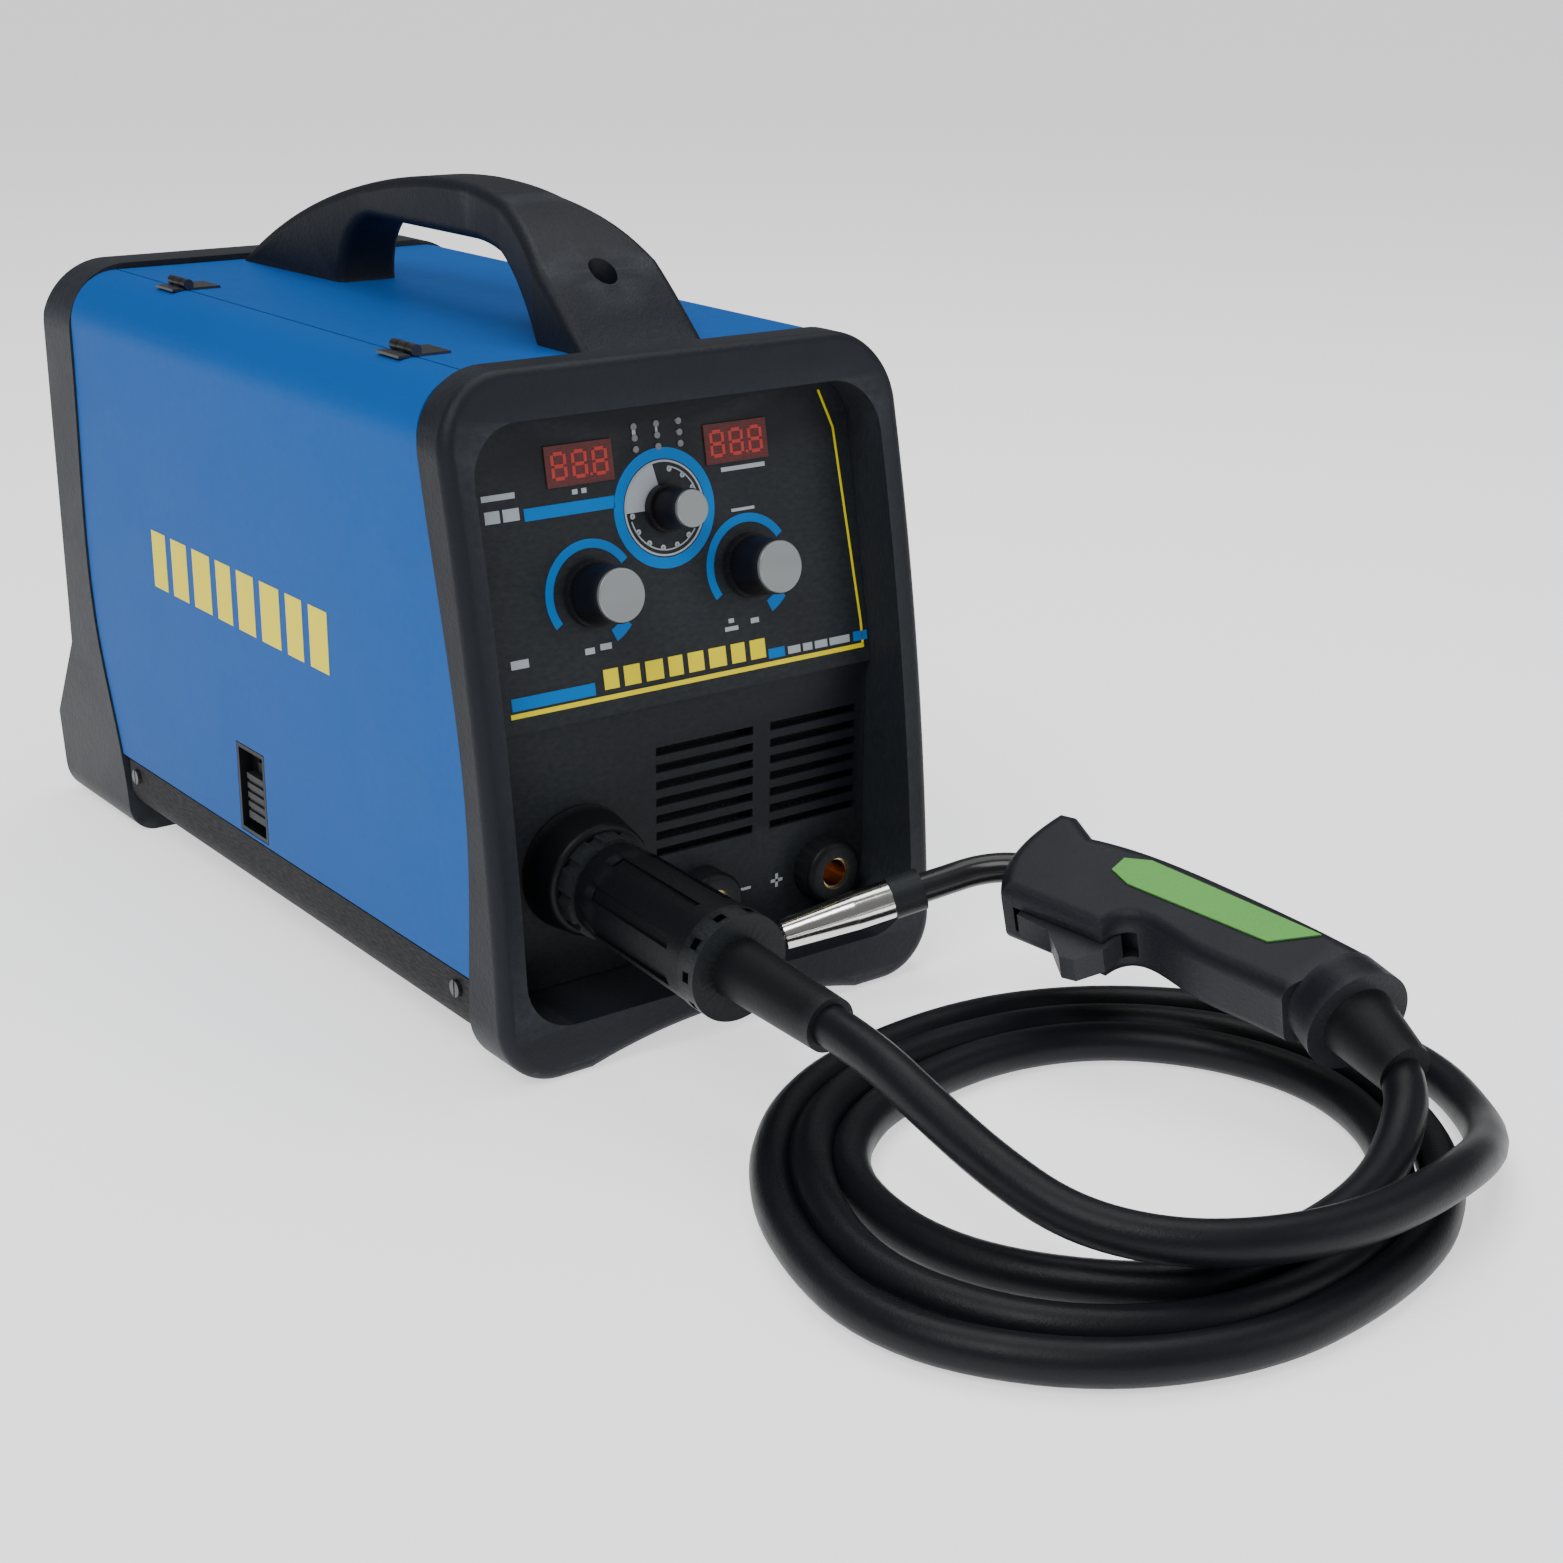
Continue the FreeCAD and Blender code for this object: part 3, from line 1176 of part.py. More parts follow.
def fan_frame():
    y1 = back(REAR_PANEL_FROM_BACK)
    half = FAN_SIZE / 2
    body = box(FAN_X - half, FAN_X + half, y1 - FAN_DEEP, y1, FAN_Z - half, FAN_Z + half)
    body = body.cut(rod(FAN_BORE_R, 100, (FAN_X, y1 - 80, FAN_Z), Y_AXIS))
    bars = []
    for i in range(2):
        reach = FAN_BORE_R + 1
        bar = box(FAN_X - reach, FAN_X + reach, y1 - FAN_DEEP, y1 - FAN_DEEP + 5, FAN_Z - 3, FAN_Z + 3)
        bar.rotate(V(FAN_X, 0, FAN_Z), Y_AXIS, 45 + 90 * i)
        bars.append(bar)
    mount = rod(FAN_HUB_R, 5, (FAN_X, y1 - FAN_DEEP, FAN_Z), Y_AXIS)
    pin = rod(2.5, 20, (FAN_X, y1 - FAN_DEEP, FAN_Z), Y_AXIS)
    return joined([body, mount, pin] + bars)


def fan_rotor():
    y0 = back(REAR_PANEL_FROM_BACK) - FAN_DEEP + 7
    hub = rod(FAN_HUB_R, 24, (FAN_X, y0, FAN_Z), Y_AXIS)
    blades = []
    for i in range(7):
        blade = box(-1, 1, -2, 18, FAN_HUB_R - 3, FAN_BLADE_R - 1)
        blade.rotate(V(0, 8, 35), Z_AXIS, 40)
        blade.translate(V(FAN_X, y0 + 3, FAN_Z))
        blade.rotate(V(FAN_X, y0, FAN_Z), Y_AXIS, 360.0 / 7 * i)
        blades.append(blade)
    keep = rod(FAN_BLADE_R, 24, (FAN_X, y0, FAN_Z), Y_AXIS)
    return joined([hub] + [b.common(keep) for b in blades]).cut(
        rod(2.5 + RUNNING, 16, (FAN_X, y0 - 1, FAN_Z), Y_AXIS))


def power_switch():
    y0 = back(REAR_PANEL_FROM_BACK)
    body = box(SWITCH_X - 13.8, SWITCH_X + 13.8, y0 - 22, y0 + SHEET, SWITCH_Z - 10.8, SWITCH_Z + 10.8)
    rim = box(SWITCH_X - 16, SWITCH_X + 16, y0 + SHEET, y0 + SHEET + 2, SWITCH_Z - 13, SWITCH_Z + 13)
    well = box(SWITCH_X - 11, SWITCH_X + 11, y0 - 12, y0 + 10, SWITCH_Z - 8, SWITCH_Z + 8)
    pin = rod(1.5, 17, (SWITCH_X, y0 - 2, SWITCH_Z - 8.5), Z_AXIS)
    return body.fuse(rim).cut(well).fuse(pin).removeSplitter()


def switch_rocker():
    """Rocker that tips about the upright pin in its frame, shown tipped to one side."""
    y0 = back(REAR_PANEL_FROM_BACK) - 2
    z0, z1 = SWITCH_Z - 7.6, SWITCH_Z + 7.6
    pts = [(-9.2, -1), (-9.2, 6), (0, 5), (9.2, 6), (9.2, -1), (3.5, -4), (-3.5, -4)]
    body = polygon([(SWITCH_X + x, y0 + y, z0) for x, y in pts]).extrude(V(0, 0, z1 - z0))
    body.rotate(V(SWITCH_X, y0, 0), Z_AXIS, ROCKER_TIP)
    return body.cut(rod(1.5 + RUNNING, 20, (SWITCH_X, y0, SWITCH_Z - 10), Z_AXIS))


def mains_gland():
    y0 = back(REAR_PANEL_FROM_BACK)
    nut = rod(13, 5, (GLAND_X, y0 - 5, GLAND_Z), Y_AXIS)
    thread = rod(10, SHEET, (GLAND_X, y0, GLAND_Z), Y_AXIS)
    collar = rod(13, 6, (GLAND_X, y0 + SHEET, GLAND_Z), Y_AXIS)
    dome = cone(11.5, 8.5, 11, (GLAND_X, y0 + SHEET + 6, GLAND_Z), Y_AXIS)
    return joined([nut, thread, collar, dome]).cut(rod(GLAND_BORE_R, 60, (GLAND_X, y0 - 20, GLAND_Z), Y_AXIS))


def gas_fitting():
    """Solenoid gas valve with its hose barb through the rear panel."""
    y0 = back(REAR_PANEL_FROM_BACK)
    block = box(GAS_X - 13, GAS_X + 13, y0 - 20, y0, GAS_Z - 13, GAS_Z + 13)
    coil = rod(10, 14, (GAS_X, y0 - 10, GAS_Z - 27), Z_AXIS)
    body = rod(6, SHEET, (GAS_X, y0, GAS_Z), Y_AXIS)
    nut = rod(9.5, 4, (GAS_X, y0 + SHEET, GAS_Z), Y_AXIS)
    barb = rod(GAS_R, 18, (GAS_X, y0 + SHEET, GAS_Z), Y_AXIS)
    return joined([block, coil, body, nut, barb]).cut(rod(2.4, 60, (GAS_X, y0 - 20, GAS_Z), Y_AXIS))


# ---- Everything, one shape for each node ----
def all_parts():
    parts = {
        "front_bezel": front_bezel(),
        "rear_bezel": rear_bezel(),
        "base_tray": base_tray(),
        "case_cover": cover(),
        "side_door": door(),
        "chassis_front": chassis_front(),
        "divider": divider(),
        "rear_panel": rear_panel(),
        "case_screws": case_screws(),
        "control_panel": control_panel(),
        "displays": Part.makeCompound([display(-1), display(1)]),
        "indicator_lamps": indicator_lamps(),
        "lower_panel": lower_panel(),
        "socket_collar": socket_collar(),
        "gun_socket": gun_socket(),
        "connector_nut": connector_nut(),
        "connector_grip": connector_grip(),
        "connector_boot": connector_boot(),
        "cable_loose": cable_loose(),
        "cable_coil": cable_coil(),
        "carry_handle": carry_handle(),
        "latch_cup": latch_cup(),
        "latch_slide": latch_slide(),
        "spool_hub": spool_hub(),
        "wire_spool": spool(),
        "wire_winding": wire_winding(),
        "spool_nut": spool_nut(),
        "feed_plate": joined([feed_plate(), arm_pin()]),
        "feed_motor": feed_motor(),
        "drive_roll": drive_roll(),
        "pressure_arm": joined([pressure_arm(), pressure_axle()]),
        "pressure_roll": pressure_roll(),
        "tension_knob": tension_knob(),
        "heatsink": heatsink(),
        "transformer": transformer(),
        "fan_frame": fan_frame(),
        "fan_rotor": fan_rotor(),
        "power_switch": power_switch(),
        "switch_rocker": switch_rocker(),
        "mains_gland": mains_gland(),
        "gas_fitting": gas_fitting(),
    }
    for name in ("left", "right", "centre"):
        parts["knob_" + name] = knob(name)
        parts["knob_cap_" + name] = knob_cap(name)
    parts["pole_shells"] = Part.makeCompound([pole_body(name) for name in POLE_X])
    parts["pole_brass"] = Part.makeCompound([pole_brass(name) for name in POLE_X])
    parts["hinge_fixed"] = Part.makeCompound([hinge_fixed(depth) for depth in HINGE_DEPTHS])
    parts["hinge_door"] = Part.makeCompound([hinge_door(depth) for depth in HINGE_DEPTHS])
    handle = torch_handle()
    strips = torch_inlay()
    for strip in strips:
        handle = handle.cut(strip)
    torch = {
        "torch_handle": handle,
        "torch_inlay": Part.makeCompound(strips),
        "torch_trigger": torch_trigger(),
        "torch_collar": torch_collar(),
        "torch_boot": torch_boot(),
        "torch_neck": torch_neck(),
        "torch_insulator": torch_insulator(),
        "torch_nozzle": torch_nozzle(),
        "torch_tip": contact_tip(),
    }
    for name, shape in torch.items():
        parts[name] = on_torch(shape)
    return parts


os.makedirs("parts", exist_ok=True)
for node, part_shape in all_parts().items():
    part_shape.exportStep("parts/" + node + ".step")
    print(node, len(part_shape.Solids), round(part_shape.Volume), part_shape.isValid())
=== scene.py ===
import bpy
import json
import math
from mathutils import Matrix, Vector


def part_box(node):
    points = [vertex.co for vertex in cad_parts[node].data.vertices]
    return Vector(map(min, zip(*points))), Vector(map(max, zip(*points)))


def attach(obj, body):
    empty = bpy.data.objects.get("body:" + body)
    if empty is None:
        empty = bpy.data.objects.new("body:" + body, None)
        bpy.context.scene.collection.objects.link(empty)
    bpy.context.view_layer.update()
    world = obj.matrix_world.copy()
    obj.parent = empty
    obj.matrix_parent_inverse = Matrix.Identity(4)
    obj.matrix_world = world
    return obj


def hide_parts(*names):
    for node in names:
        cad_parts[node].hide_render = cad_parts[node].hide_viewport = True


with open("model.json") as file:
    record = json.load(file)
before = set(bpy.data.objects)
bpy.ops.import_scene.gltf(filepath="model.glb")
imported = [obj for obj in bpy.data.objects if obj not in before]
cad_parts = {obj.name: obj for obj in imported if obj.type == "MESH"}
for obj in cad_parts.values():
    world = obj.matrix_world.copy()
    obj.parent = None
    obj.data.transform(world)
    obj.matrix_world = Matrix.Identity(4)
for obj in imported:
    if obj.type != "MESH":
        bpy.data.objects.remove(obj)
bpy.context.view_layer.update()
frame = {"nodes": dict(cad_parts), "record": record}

# %% [markdown]
# A portable wire welder stands on the floor with its torch plugged in. Its solids come from CAD.
# This file adds what CAD can't give well: the gun cable as one smooth cord, the prints on the
# panel and the door, the lit digits, the finishes, the floor and the light. bpy.ops makes each
# new piece, as by hand, and a few helpers keep every step to a line or two.

NODES = frame["nodes"]
print("CAD nodes:", len(NODES))


def deselect():
    bpy.ops.object.select_all(action="DESELECT")


def made(name):
    """The object that the last operator made, under a new name."""
    piece = bpy.context.object
    piece.name = name
    return piece


def settle(piece):
    """Writes the object's place into its mesh, so that it ends at the origin."""
    deselect()
    piece.select_set(True)
    bpy.context.view_layer.objects.active = piece
    bpy.ops.object.transform_apply(location=True, rotation=True, scale=True)
    return piece


def merge(name, pieces):
    """Joins several pieces into one, under a new name."""
    deselect()
    for piece in pieces:
        piece.select_set(True)
    bpy.context.view_layer.objects.active = pieces[0]
    if len(pieces) > 1:
        bpy.ops.object.join()
    return settle(made(name))


# %% [markdown]
# The camera stands off the front left corner, a little above the lid, with a long lens. Three
# angles could turn it. Three directions are given instead, because they say plainly which way is
# right, up and ahead.

# %% Camera
CAMERA_AT = (-0.6164, -1.0914, 0.4918)
LENS_MM = 57.245
SENSOR_MM = 36.0
deselect()
bpy.ops.object.camera_add(location=CAMERA_AT)
camera = made("camera")
right = Vector((0.79751, -0.60322, 0.01011))
up = Vector((0.19393, 0.27219, 0.94250))
ahead = Vector((0.57128, 0.74969, -0.33406))
turn = Matrix((right, up, -ahead)).transposed()
camera.rotation_euler = turn.to_euler()
camera.data.lens = LENS_MM
camera.data.sensor_width = SENSOR_MM
camera.data.clip_start = 0.05
bpy.context.scene.camera = camera
print("camera lens, mm:", LENS_MM)

# %% [markdown]
# One cable runs from the connector's boot to the torch. It sinks to the floor in a wide bend, lies
# in about two and a half loose turns, and climbs to the torch. The turns could be a spiral by
# formula. They are worked out from a short list of how far out, and how high, the cable lies at
# each angle, because loose turns are never round or the same size. Places are in millimetres.

# %% Gun cable route
CABLE_D = 0.018
LEAD = [
    (-57.0, -384.0, 72.1), (-57.0, -414.9, 70.7), (-56.0, -450.0, 60.0), (-53.0, -484.0, 49.0),
    (-46.0, -518.0, 40.0), (-27.0, -548.0, 37.0), (3.0, -570.0, 37.0), (40.0, -581.0, 37.0),
    (80.0, -581.0, 37.0), (120.0, -571.0, 33.0), (157.0, -551.0, 21.0), (190.0, -521.0, 10.0),
    (211.0, -484.0, 9.2), (216.0, -444.0, 9.2), (204.0, -406.0, 9.2),
]
TAIL = [
    (-20.0, -546.0, 14.0), (6.0, -555.0, 19.0), (46.0, -557.0, 20.5),
    (84.0, -553.0, 25.0), (117.0, -538.0, 32.0), (137.0, -524.0, 43.0), (143.0, -508.0, 49.0),
]
COIL_AT = (46.0, -456.0)
COIL_FROM = 45
COIL_STEP = 25
COIL_STEPS = 36
COIL_SHAPE = [
    (45, 154.0, 9.2), (95, 140.0, 9.2), (158, 149.0, 9.2), (197, 171.0, 9.2), (222, 160.0, 9.2),
    (270, 131.0, 9.2), (312, 128.0, 9.6), (360, 138.0, 10.0), (405, 133.0, 9.6), (455, 121.0, 9.6),
    (518, 134.0, 15.0), (552, 149.0, 11.0), (580, 139.0, 9.4), (630, 113.0, 9.2), (672, 109.0, 9.2),
    (720, 118.0, 9.4), (765, 114.0, 9.2), (815, 102.0, 9.2), (873, 118.0, 9.2), (909, 112.0, 9.2),
    (945, 108.0, 10.5),
]


def between(angle):
    """How far from the middle, and how high, the cable is at this angle along the coil."""
    for low, high in zip(COIL_SHAPE, COIL_SHAPE[1:]):
        if angle <= high[0]:
            share = (angle - low[0]) / (high[0] - low[0])
            return [a + share * (b - a) for a, b in zip(low[1:], high[1:])]
    return COIL_SHAPE[-1][1:]


route = list(LEAD)
for step in range(COIL_STEPS):
    angle = COIL_FROM + COIL_STEP * step
    reach, lift = between(angle)
    along = math.radians(angle)
    route.append((COIL_AT[0] + reach * math.cos(along), COIL_AT[1] + reach * math.sin(along), lift))
route += TAIL
print("cable points:", len(route))

# %% [markdown]
# The cable itself is a NURBS curve with a round bevel, which stays smooth between its points. The
# bevel is one metre deep and each point's radius is the cable's, because the measured size of a
# curve grows by the radius of its points.

# %% Gun cable
deselect()
bpy.ops.curve.primitive_nurbs_path_add()
cable = made("gun_cable")
cable.data.splines.clear()
spline = cable.data.splines.new("NURBS")
spline.points.add(len(route) - 1)
for point, (x, y, z) in zip(spline.points, route):
    point.co = (x / 1000, y / 1000, z / 1000, 1.0)
    point.radius = CABLE_D / 2
spline.order_u = 3
spline.use_endpoint_u = True
cable.data.dimensions = "3D"
cable.data.bevel_depth = 1.0
cable.data.bevel_resolution = 6
cable.data.resolution_u = 8
cable.data.use_fill_caps = True
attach(cable, "case")
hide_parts("cable_loose", "cable_coil")

# %% [markdown]
# The floor is flat, and so wide that its edge is never seen. Three square softboxes light the
# welder: a key at the front left, one above and a fill at the front right. A lamp that is small
# would cut hard shadows, so all three are over a metre wide. A weak white world lifts the rest.

# %% Floor and light
FLOOR_WIDTH = 80.0
WORLD_STRENGTH = 0.18
deselect()
bpy.ops.mesh.primitive_plane_add(size=FLOOR_WIDTH, location=(0.0, 0.0, 0.0))
floor = made("floor")


def softbox(name, place, aim, size, power):
    deselect()
    bpy.ops.object.light_add(type="AREA", location=place)
    lamp = made(name)
    lamp.data.size = size
    lamp.data.energy = power
    lamp.rotation_euler = (Vector(aim) - Vector(place)).to_track_quat("-Z", "Y").to_euler()


softbox("key", place=(-1.5, -1.0, 2.3), aim=(0.0, 0.0, 0.15), size=1.4, power=44.0)
softbox("top", place=(0.5, 0.3, 2.6), aim=(0.0, -0.1, 0.1), size=2.0, power=40.0)
softbox("fill", place=(1.6, -2.2, 1.4), aim=(0.0, -0.2, 0.15), size=1.4, power=16.0)
world = bpy.data.worlds.new("studio")
world.use_nodes = True
sky = world.node_tree.nodes["Background"]
sky.inputs["Color"].default_value = (1.0, 1.0, 1.0, 1.0)
sky.inputs["Strength"].default_value = WORLD_STRENGTH
bpy.context.scene.world = world
print("world strength:", WORLD_STRENGTH)

# %% [markdown]
# Each effect is a node group with its own inputs, so that one description of a surface grain or
# of handling marks serves every material. Grain, drift and handling read the object's own
# coordinates, stretched where a finish runs one way. The paler edges, partly rubbed wear and partly
# a painted highlight, are found from the mesh.

# %% Helpers for shader effects
NO_STRETCH = (1, 1, 1)
MID_GREY = (0.5, 0.5, 0.5, 1)


def group(name, inputs, outputs):
    tree = bpy.data.node_groups.new(name, "ShaderNodeTree")
    for label, kind, value in inputs:
        socket = tree.interface.new_socket(name=label, in_out="INPUT", socket_type=kind)
        socket.default_value = value
    for label, kind in outputs:
        tree.interface.new_socket(name=label, in_out="OUTPUT", socket_type=kind)
    return tree, tree.nodes.new("NodeGroupInput"), tree.nodes.new("NodeGroupOutput")


def add(tree, kind, **settings):
    node = tree.nodes.new(kind)
    for key, value in settings.items():
        setattr(node, key, value)
    return node


def stretched(tree, source):
    """Object coordinates scaled by the group's Stretch input."""
    coords = add(tree, "ShaderNodeTexCoord")
    scaled = add(tree, "ShaderNodeVectorMath", operation="MULTIPLY")
    tree.links.new(coords.outputs["Object"], scaled.inputs[0])
    tree.links.new(source.outputs["Stretch"], scaled.inputs[1])
    return scaled.outputs["Vector"]


# %% [markdown]
# Moulded plastic and paint are never quite smooth. The grain is a fine noise with larger cells
# under it, turned into a bump. Real relief this fine would need millions of faces.

# %% Grain
grain, g_in, g_out = group(
    "surface_grain",
    [
        ("Scale", "NodeSocketFloat", 900.0),
        ("Height", "NodeSocketFloat", 0.1),
        ("Stretch", "NodeSocketVector", NO_STRETCH),
    ],
    [("Normal", "NodeSocketVector")],
)
place = stretched(grain, g_in)
fine = add(grain, "ShaderNodeTexNoise")
fine.inputs["Detail"].default_value = 4.0
coarse = add(grain, "ShaderNodeTexVoronoi")
third = add(grain, "ShaderNodeMath", operation="MULTIPLY")
third.inputs[1].default_value = 0.35
both = add(grain, "ShaderNodeMath", operation="MULTIPLY_ADD")
both.inputs[1].default_value = 0.4
bump = add(grain, "ShaderNodeBump")
bump.inputs["Distance"].default_value = 0.0006
grain.links.new(place, fine.inputs["Vector"])
grain.links.new(place, coarse.inputs["Vector"])
grain.links.new(g_in.outputs["Scale"], fine.inputs["Scale"])
grain.links.new(g_in.outputs["Scale"], third.inputs[0])
grain.links.new(third.outputs[0], coarse.inputs["Scale"])
grain.links.new(coarse.outputs["Distance"], both.inputs[0])
grain.links.new(fine.outputs["Fac"], both.inputs[2])
grain.links.new(both.outputs[0], bump.inputs["Height"])
grain.links.new(g_in.outputs["Height"], bump.inputs["Strength"])
grain.links.new(bump.outputs["Normal"], g_out.inputs["Normal"])

# %% [markdown]
# Drift is a slow change of lightness, so that no large face is one flat colour. Only the value
# changes, because paint and plastic keep their hue.

# %% Drift
drift, d_in, d_out = group(
    "colour_drift",
    [
        ("Color", "NodeSocketColor", MID_GREY),
        ("Amount", "NodeSocketFloat", 0.15),
        ("Scale", "NodeSocketFloat", 14.0),
        ("Stretch", "NodeSocketVector", NO_STRETCH),
    ],
    [("Color", "NodeSocketColor")],
)
place = stretched(drift, d_in)
cloud = add(drift, "ShaderNodeTexNoise")
cloud.inputs["Detail"].default_value = 6.0
centred = add(drift, "ShaderNodeMath", operation="SUBTRACT")
centred.inputs[1].default_value = 0.5
scaled = add(drift, "ShaderNodeMath", operation="MULTIPLY_ADD")
scaled.inputs[2].default_value = 1.0
tint = add(drift, "ShaderNodeHueSaturation")
drift.links.new(place, cloud.inputs["Vector"])
drift.links.new(d_in.outputs["Scale"], cloud.inputs["Scale"])
drift.links.new(cloud.outputs["Fac"], centred.inputs[0])
drift.links.new(centred.outputs[0], scaled.inputs[0])
drift.links.new(d_in.outputs["Amount"], scaled.inputs[1])
drift.links.new(scaled.outputs[0], tint.inputs["Value"])
drift.links.new(d_in.outputs["Color"], tint.inputs["Color"])
drift.links.new(tint.outputs["Color"], d_out.inputs["Color"])

# %% [markdown]
# Hands and rags leave smears that change only how rough the surface is. A twisted noise gives them
# without touching the colour.

# %% Handling
handling, h_in, h_out = group(
    "handling_marks",
    [
        ("Roughness", "NodeSocketFloat", 0.5),
        ("Amount", "NodeSocketFloat", 0.12),
        ("Scale", "NodeSocketFloat", 30.0),
        ("Stretch", "NodeSocketVector", NO_STRETCH),
    ],
    [("Roughness", "NodeSocketFloat")],
)
place = stretched(handling, h_in)
smear = add(handling, "ShaderNodeTexNoise")
smear.inputs["Detail"].default_value = 8.0
smear.inputs["Distortion"].default_value = 0.8
offset = add(handling, "ShaderNodeMath", operation="SUBTRACT")
offset.inputs[1].default_value = 0.5
level = add(handling, "ShaderNodeMath", operation="MULTIPLY_ADD")
handling.links.new(place, smear.inputs["Vector"])
handling.links.new(h_in.outputs["Scale"], smear.inputs["Scale"])
handling.links.new(smear.outputs["Fac"], offset.inputs[0])
handling.links.new(offset.outputs[0], level.inputs[0])
handling.links.new(h_in.outputs["Amount"], level.inputs[1])
handling.links.new(h_in.outputs["Roughness"], level.inputs[2])
handling.links.new(level.outputs[0], h_out.inputs["Roughness"])

# %% [markdown]
# Edges that stand out are painted paler: partly rubbed wear, partly a painted highlight where the
# light would catch the edge. The mesh's pointiness finds them, and noise breaks the line up so
# that it isn't even.

# %% Wear and painted highlight
wear_and_highlight, w_in, w_out = group(
    "edge_wear_and_highlight",
    [
        ("Color", "NodeSocketColor", MID_GREY),
        ("Worn and Highlight", "NodeSocketColor", (0.3, 0.3, 0.3, 1)),
        ("Amount", "NodeSocketFloat", 0.3),
    ],
    [("Color", "NodeSocketColor")],
)
shape = add(wear_and_highlight, "ShaderNodeNewGeometry")
edges = add(wear_and_highlight, "ShaderNodeMapRange")
edges.inputs["From Min"].default_value = 0.52
edges.inputs["From Max"].default_value = 0.60
patch = add(wear_and_highlight, "ShaderNodeTexNoise")
patch.inputs["Scale"].default_value = 60.0
product = add(wear_and_highlight, "ShaderNodeMath", operation="MULTIPLY")
strength = add(wear_and_highlight, "ShaderNodeMath", operation="MULTIPLY")
blend = add(wear_and_highlight, "ShaderNodeMixRGB")
wear_and_highlight.links.new(shape.outputs["Pointiness"], edges.inputs["Value"])
wear_and_highlight.links.new(edges.outputs["Result"], product.inputs[0])
wear_and_highlight.links.new(patch.outputs["Fac"], product.inputs[1])
wear_and_highlight.links.new(product.outputs[0], strength.inputs[0])
wear_and_highlight.links.new(w_in.outputs["Amount"], strength.inputs[1])
wear_and_highlight.links.new(strength.outputs[0], blend.inputs["Fac"])
wear_and_highlight.links.new(w_in.outputs["Color"], blend.inputs["Color1"])
wear_and_highlight.links.new(w_in.outputs["Worn and Highlight"], blend.inputs["Color2"])
wear_and_highlight.links.new(blend.outputs["Color"], w_out.inputs["Color"])

# %% [markdown]
# Every finish is the same chain with its own numbers: colour, drift, edge wear with painted edge
# highlight, handling, grain.
# One function builds the chain, so that the table below it says only what makes each finish
# different. The colours are deep and the shine is low, because they come out paler under the
# studio light.

# %% One finish
COAT_ROUGH = 0.12


def finish(name, colour, rough, metal=0.0, coat=0.0, drift_by=0.25, marks=0.12, scale=900.0,
           height=0.12, worn_and_highlight=(0.25, 0.25, 0.26), wear_and_highlight_by=0.25, stretch=NO_STRETCH, shine=0.18):
    material = bpy.data.materials.new(name)
    material.use_nodes = True
    tree = material.node_tree
    shader = tree.nodes["Principled BSDF"]
    parts = {}
    for effect in (drift, wear_and_highlight, handling, grain):
        parts[effect.name] = add(tree, "ShaderNodeGroup", node_tree=effect)
    tone, edge = parts["colour_drift"], parts["edge_wear_and_highlight"]
    touch, skin = parts["handling_marks"], parts["surface_grain"]
    tone.inputs["Color"].default_value = (*colour, 1.0)
    tone.inputs["Amount"].default_value = drift_by
    # The worn colour on the rims is partly rubbed wear and partly a painted edge highlight.
    edge.inputs["Worn and Highlight"].default_value = (*worn_and_highlight, 1.0)
    edge.inputs["Amount"].default_value = wear_and_highlight_by
    touch.inputs["Roughness"].default_value = rough
    touch.inputs["Amount"].default_value = marks
    skin.inputs["Scale"].default_value = scale
    skin.inputs["Height"].default_value = height
    for effect in (tone, touch, skin):
        effect.inputs["Stretch"].default_value = stretch
    shader.inputs["Metallic"].default_value = metal
    shader.inputs["Coat Weight"].default_value = coat
    shader.inputs["Coat Roughness"].default_value = COAT_ROUGH
    shader.inputs["Specular IOR Level"].default_value = shine
    tree.links.new(tone.outputs["Color"], edge.inputs["Color"])
    tree.links.new(edge.outputs["Color"], shader.inputs["Base Color"])
    tree.links.new(touch.outputs["Roughness"], shader.inputs["Roughness"])
    tree.links.new(skin.outputs["Normal"], shader.inputs["Normal"])
    return material
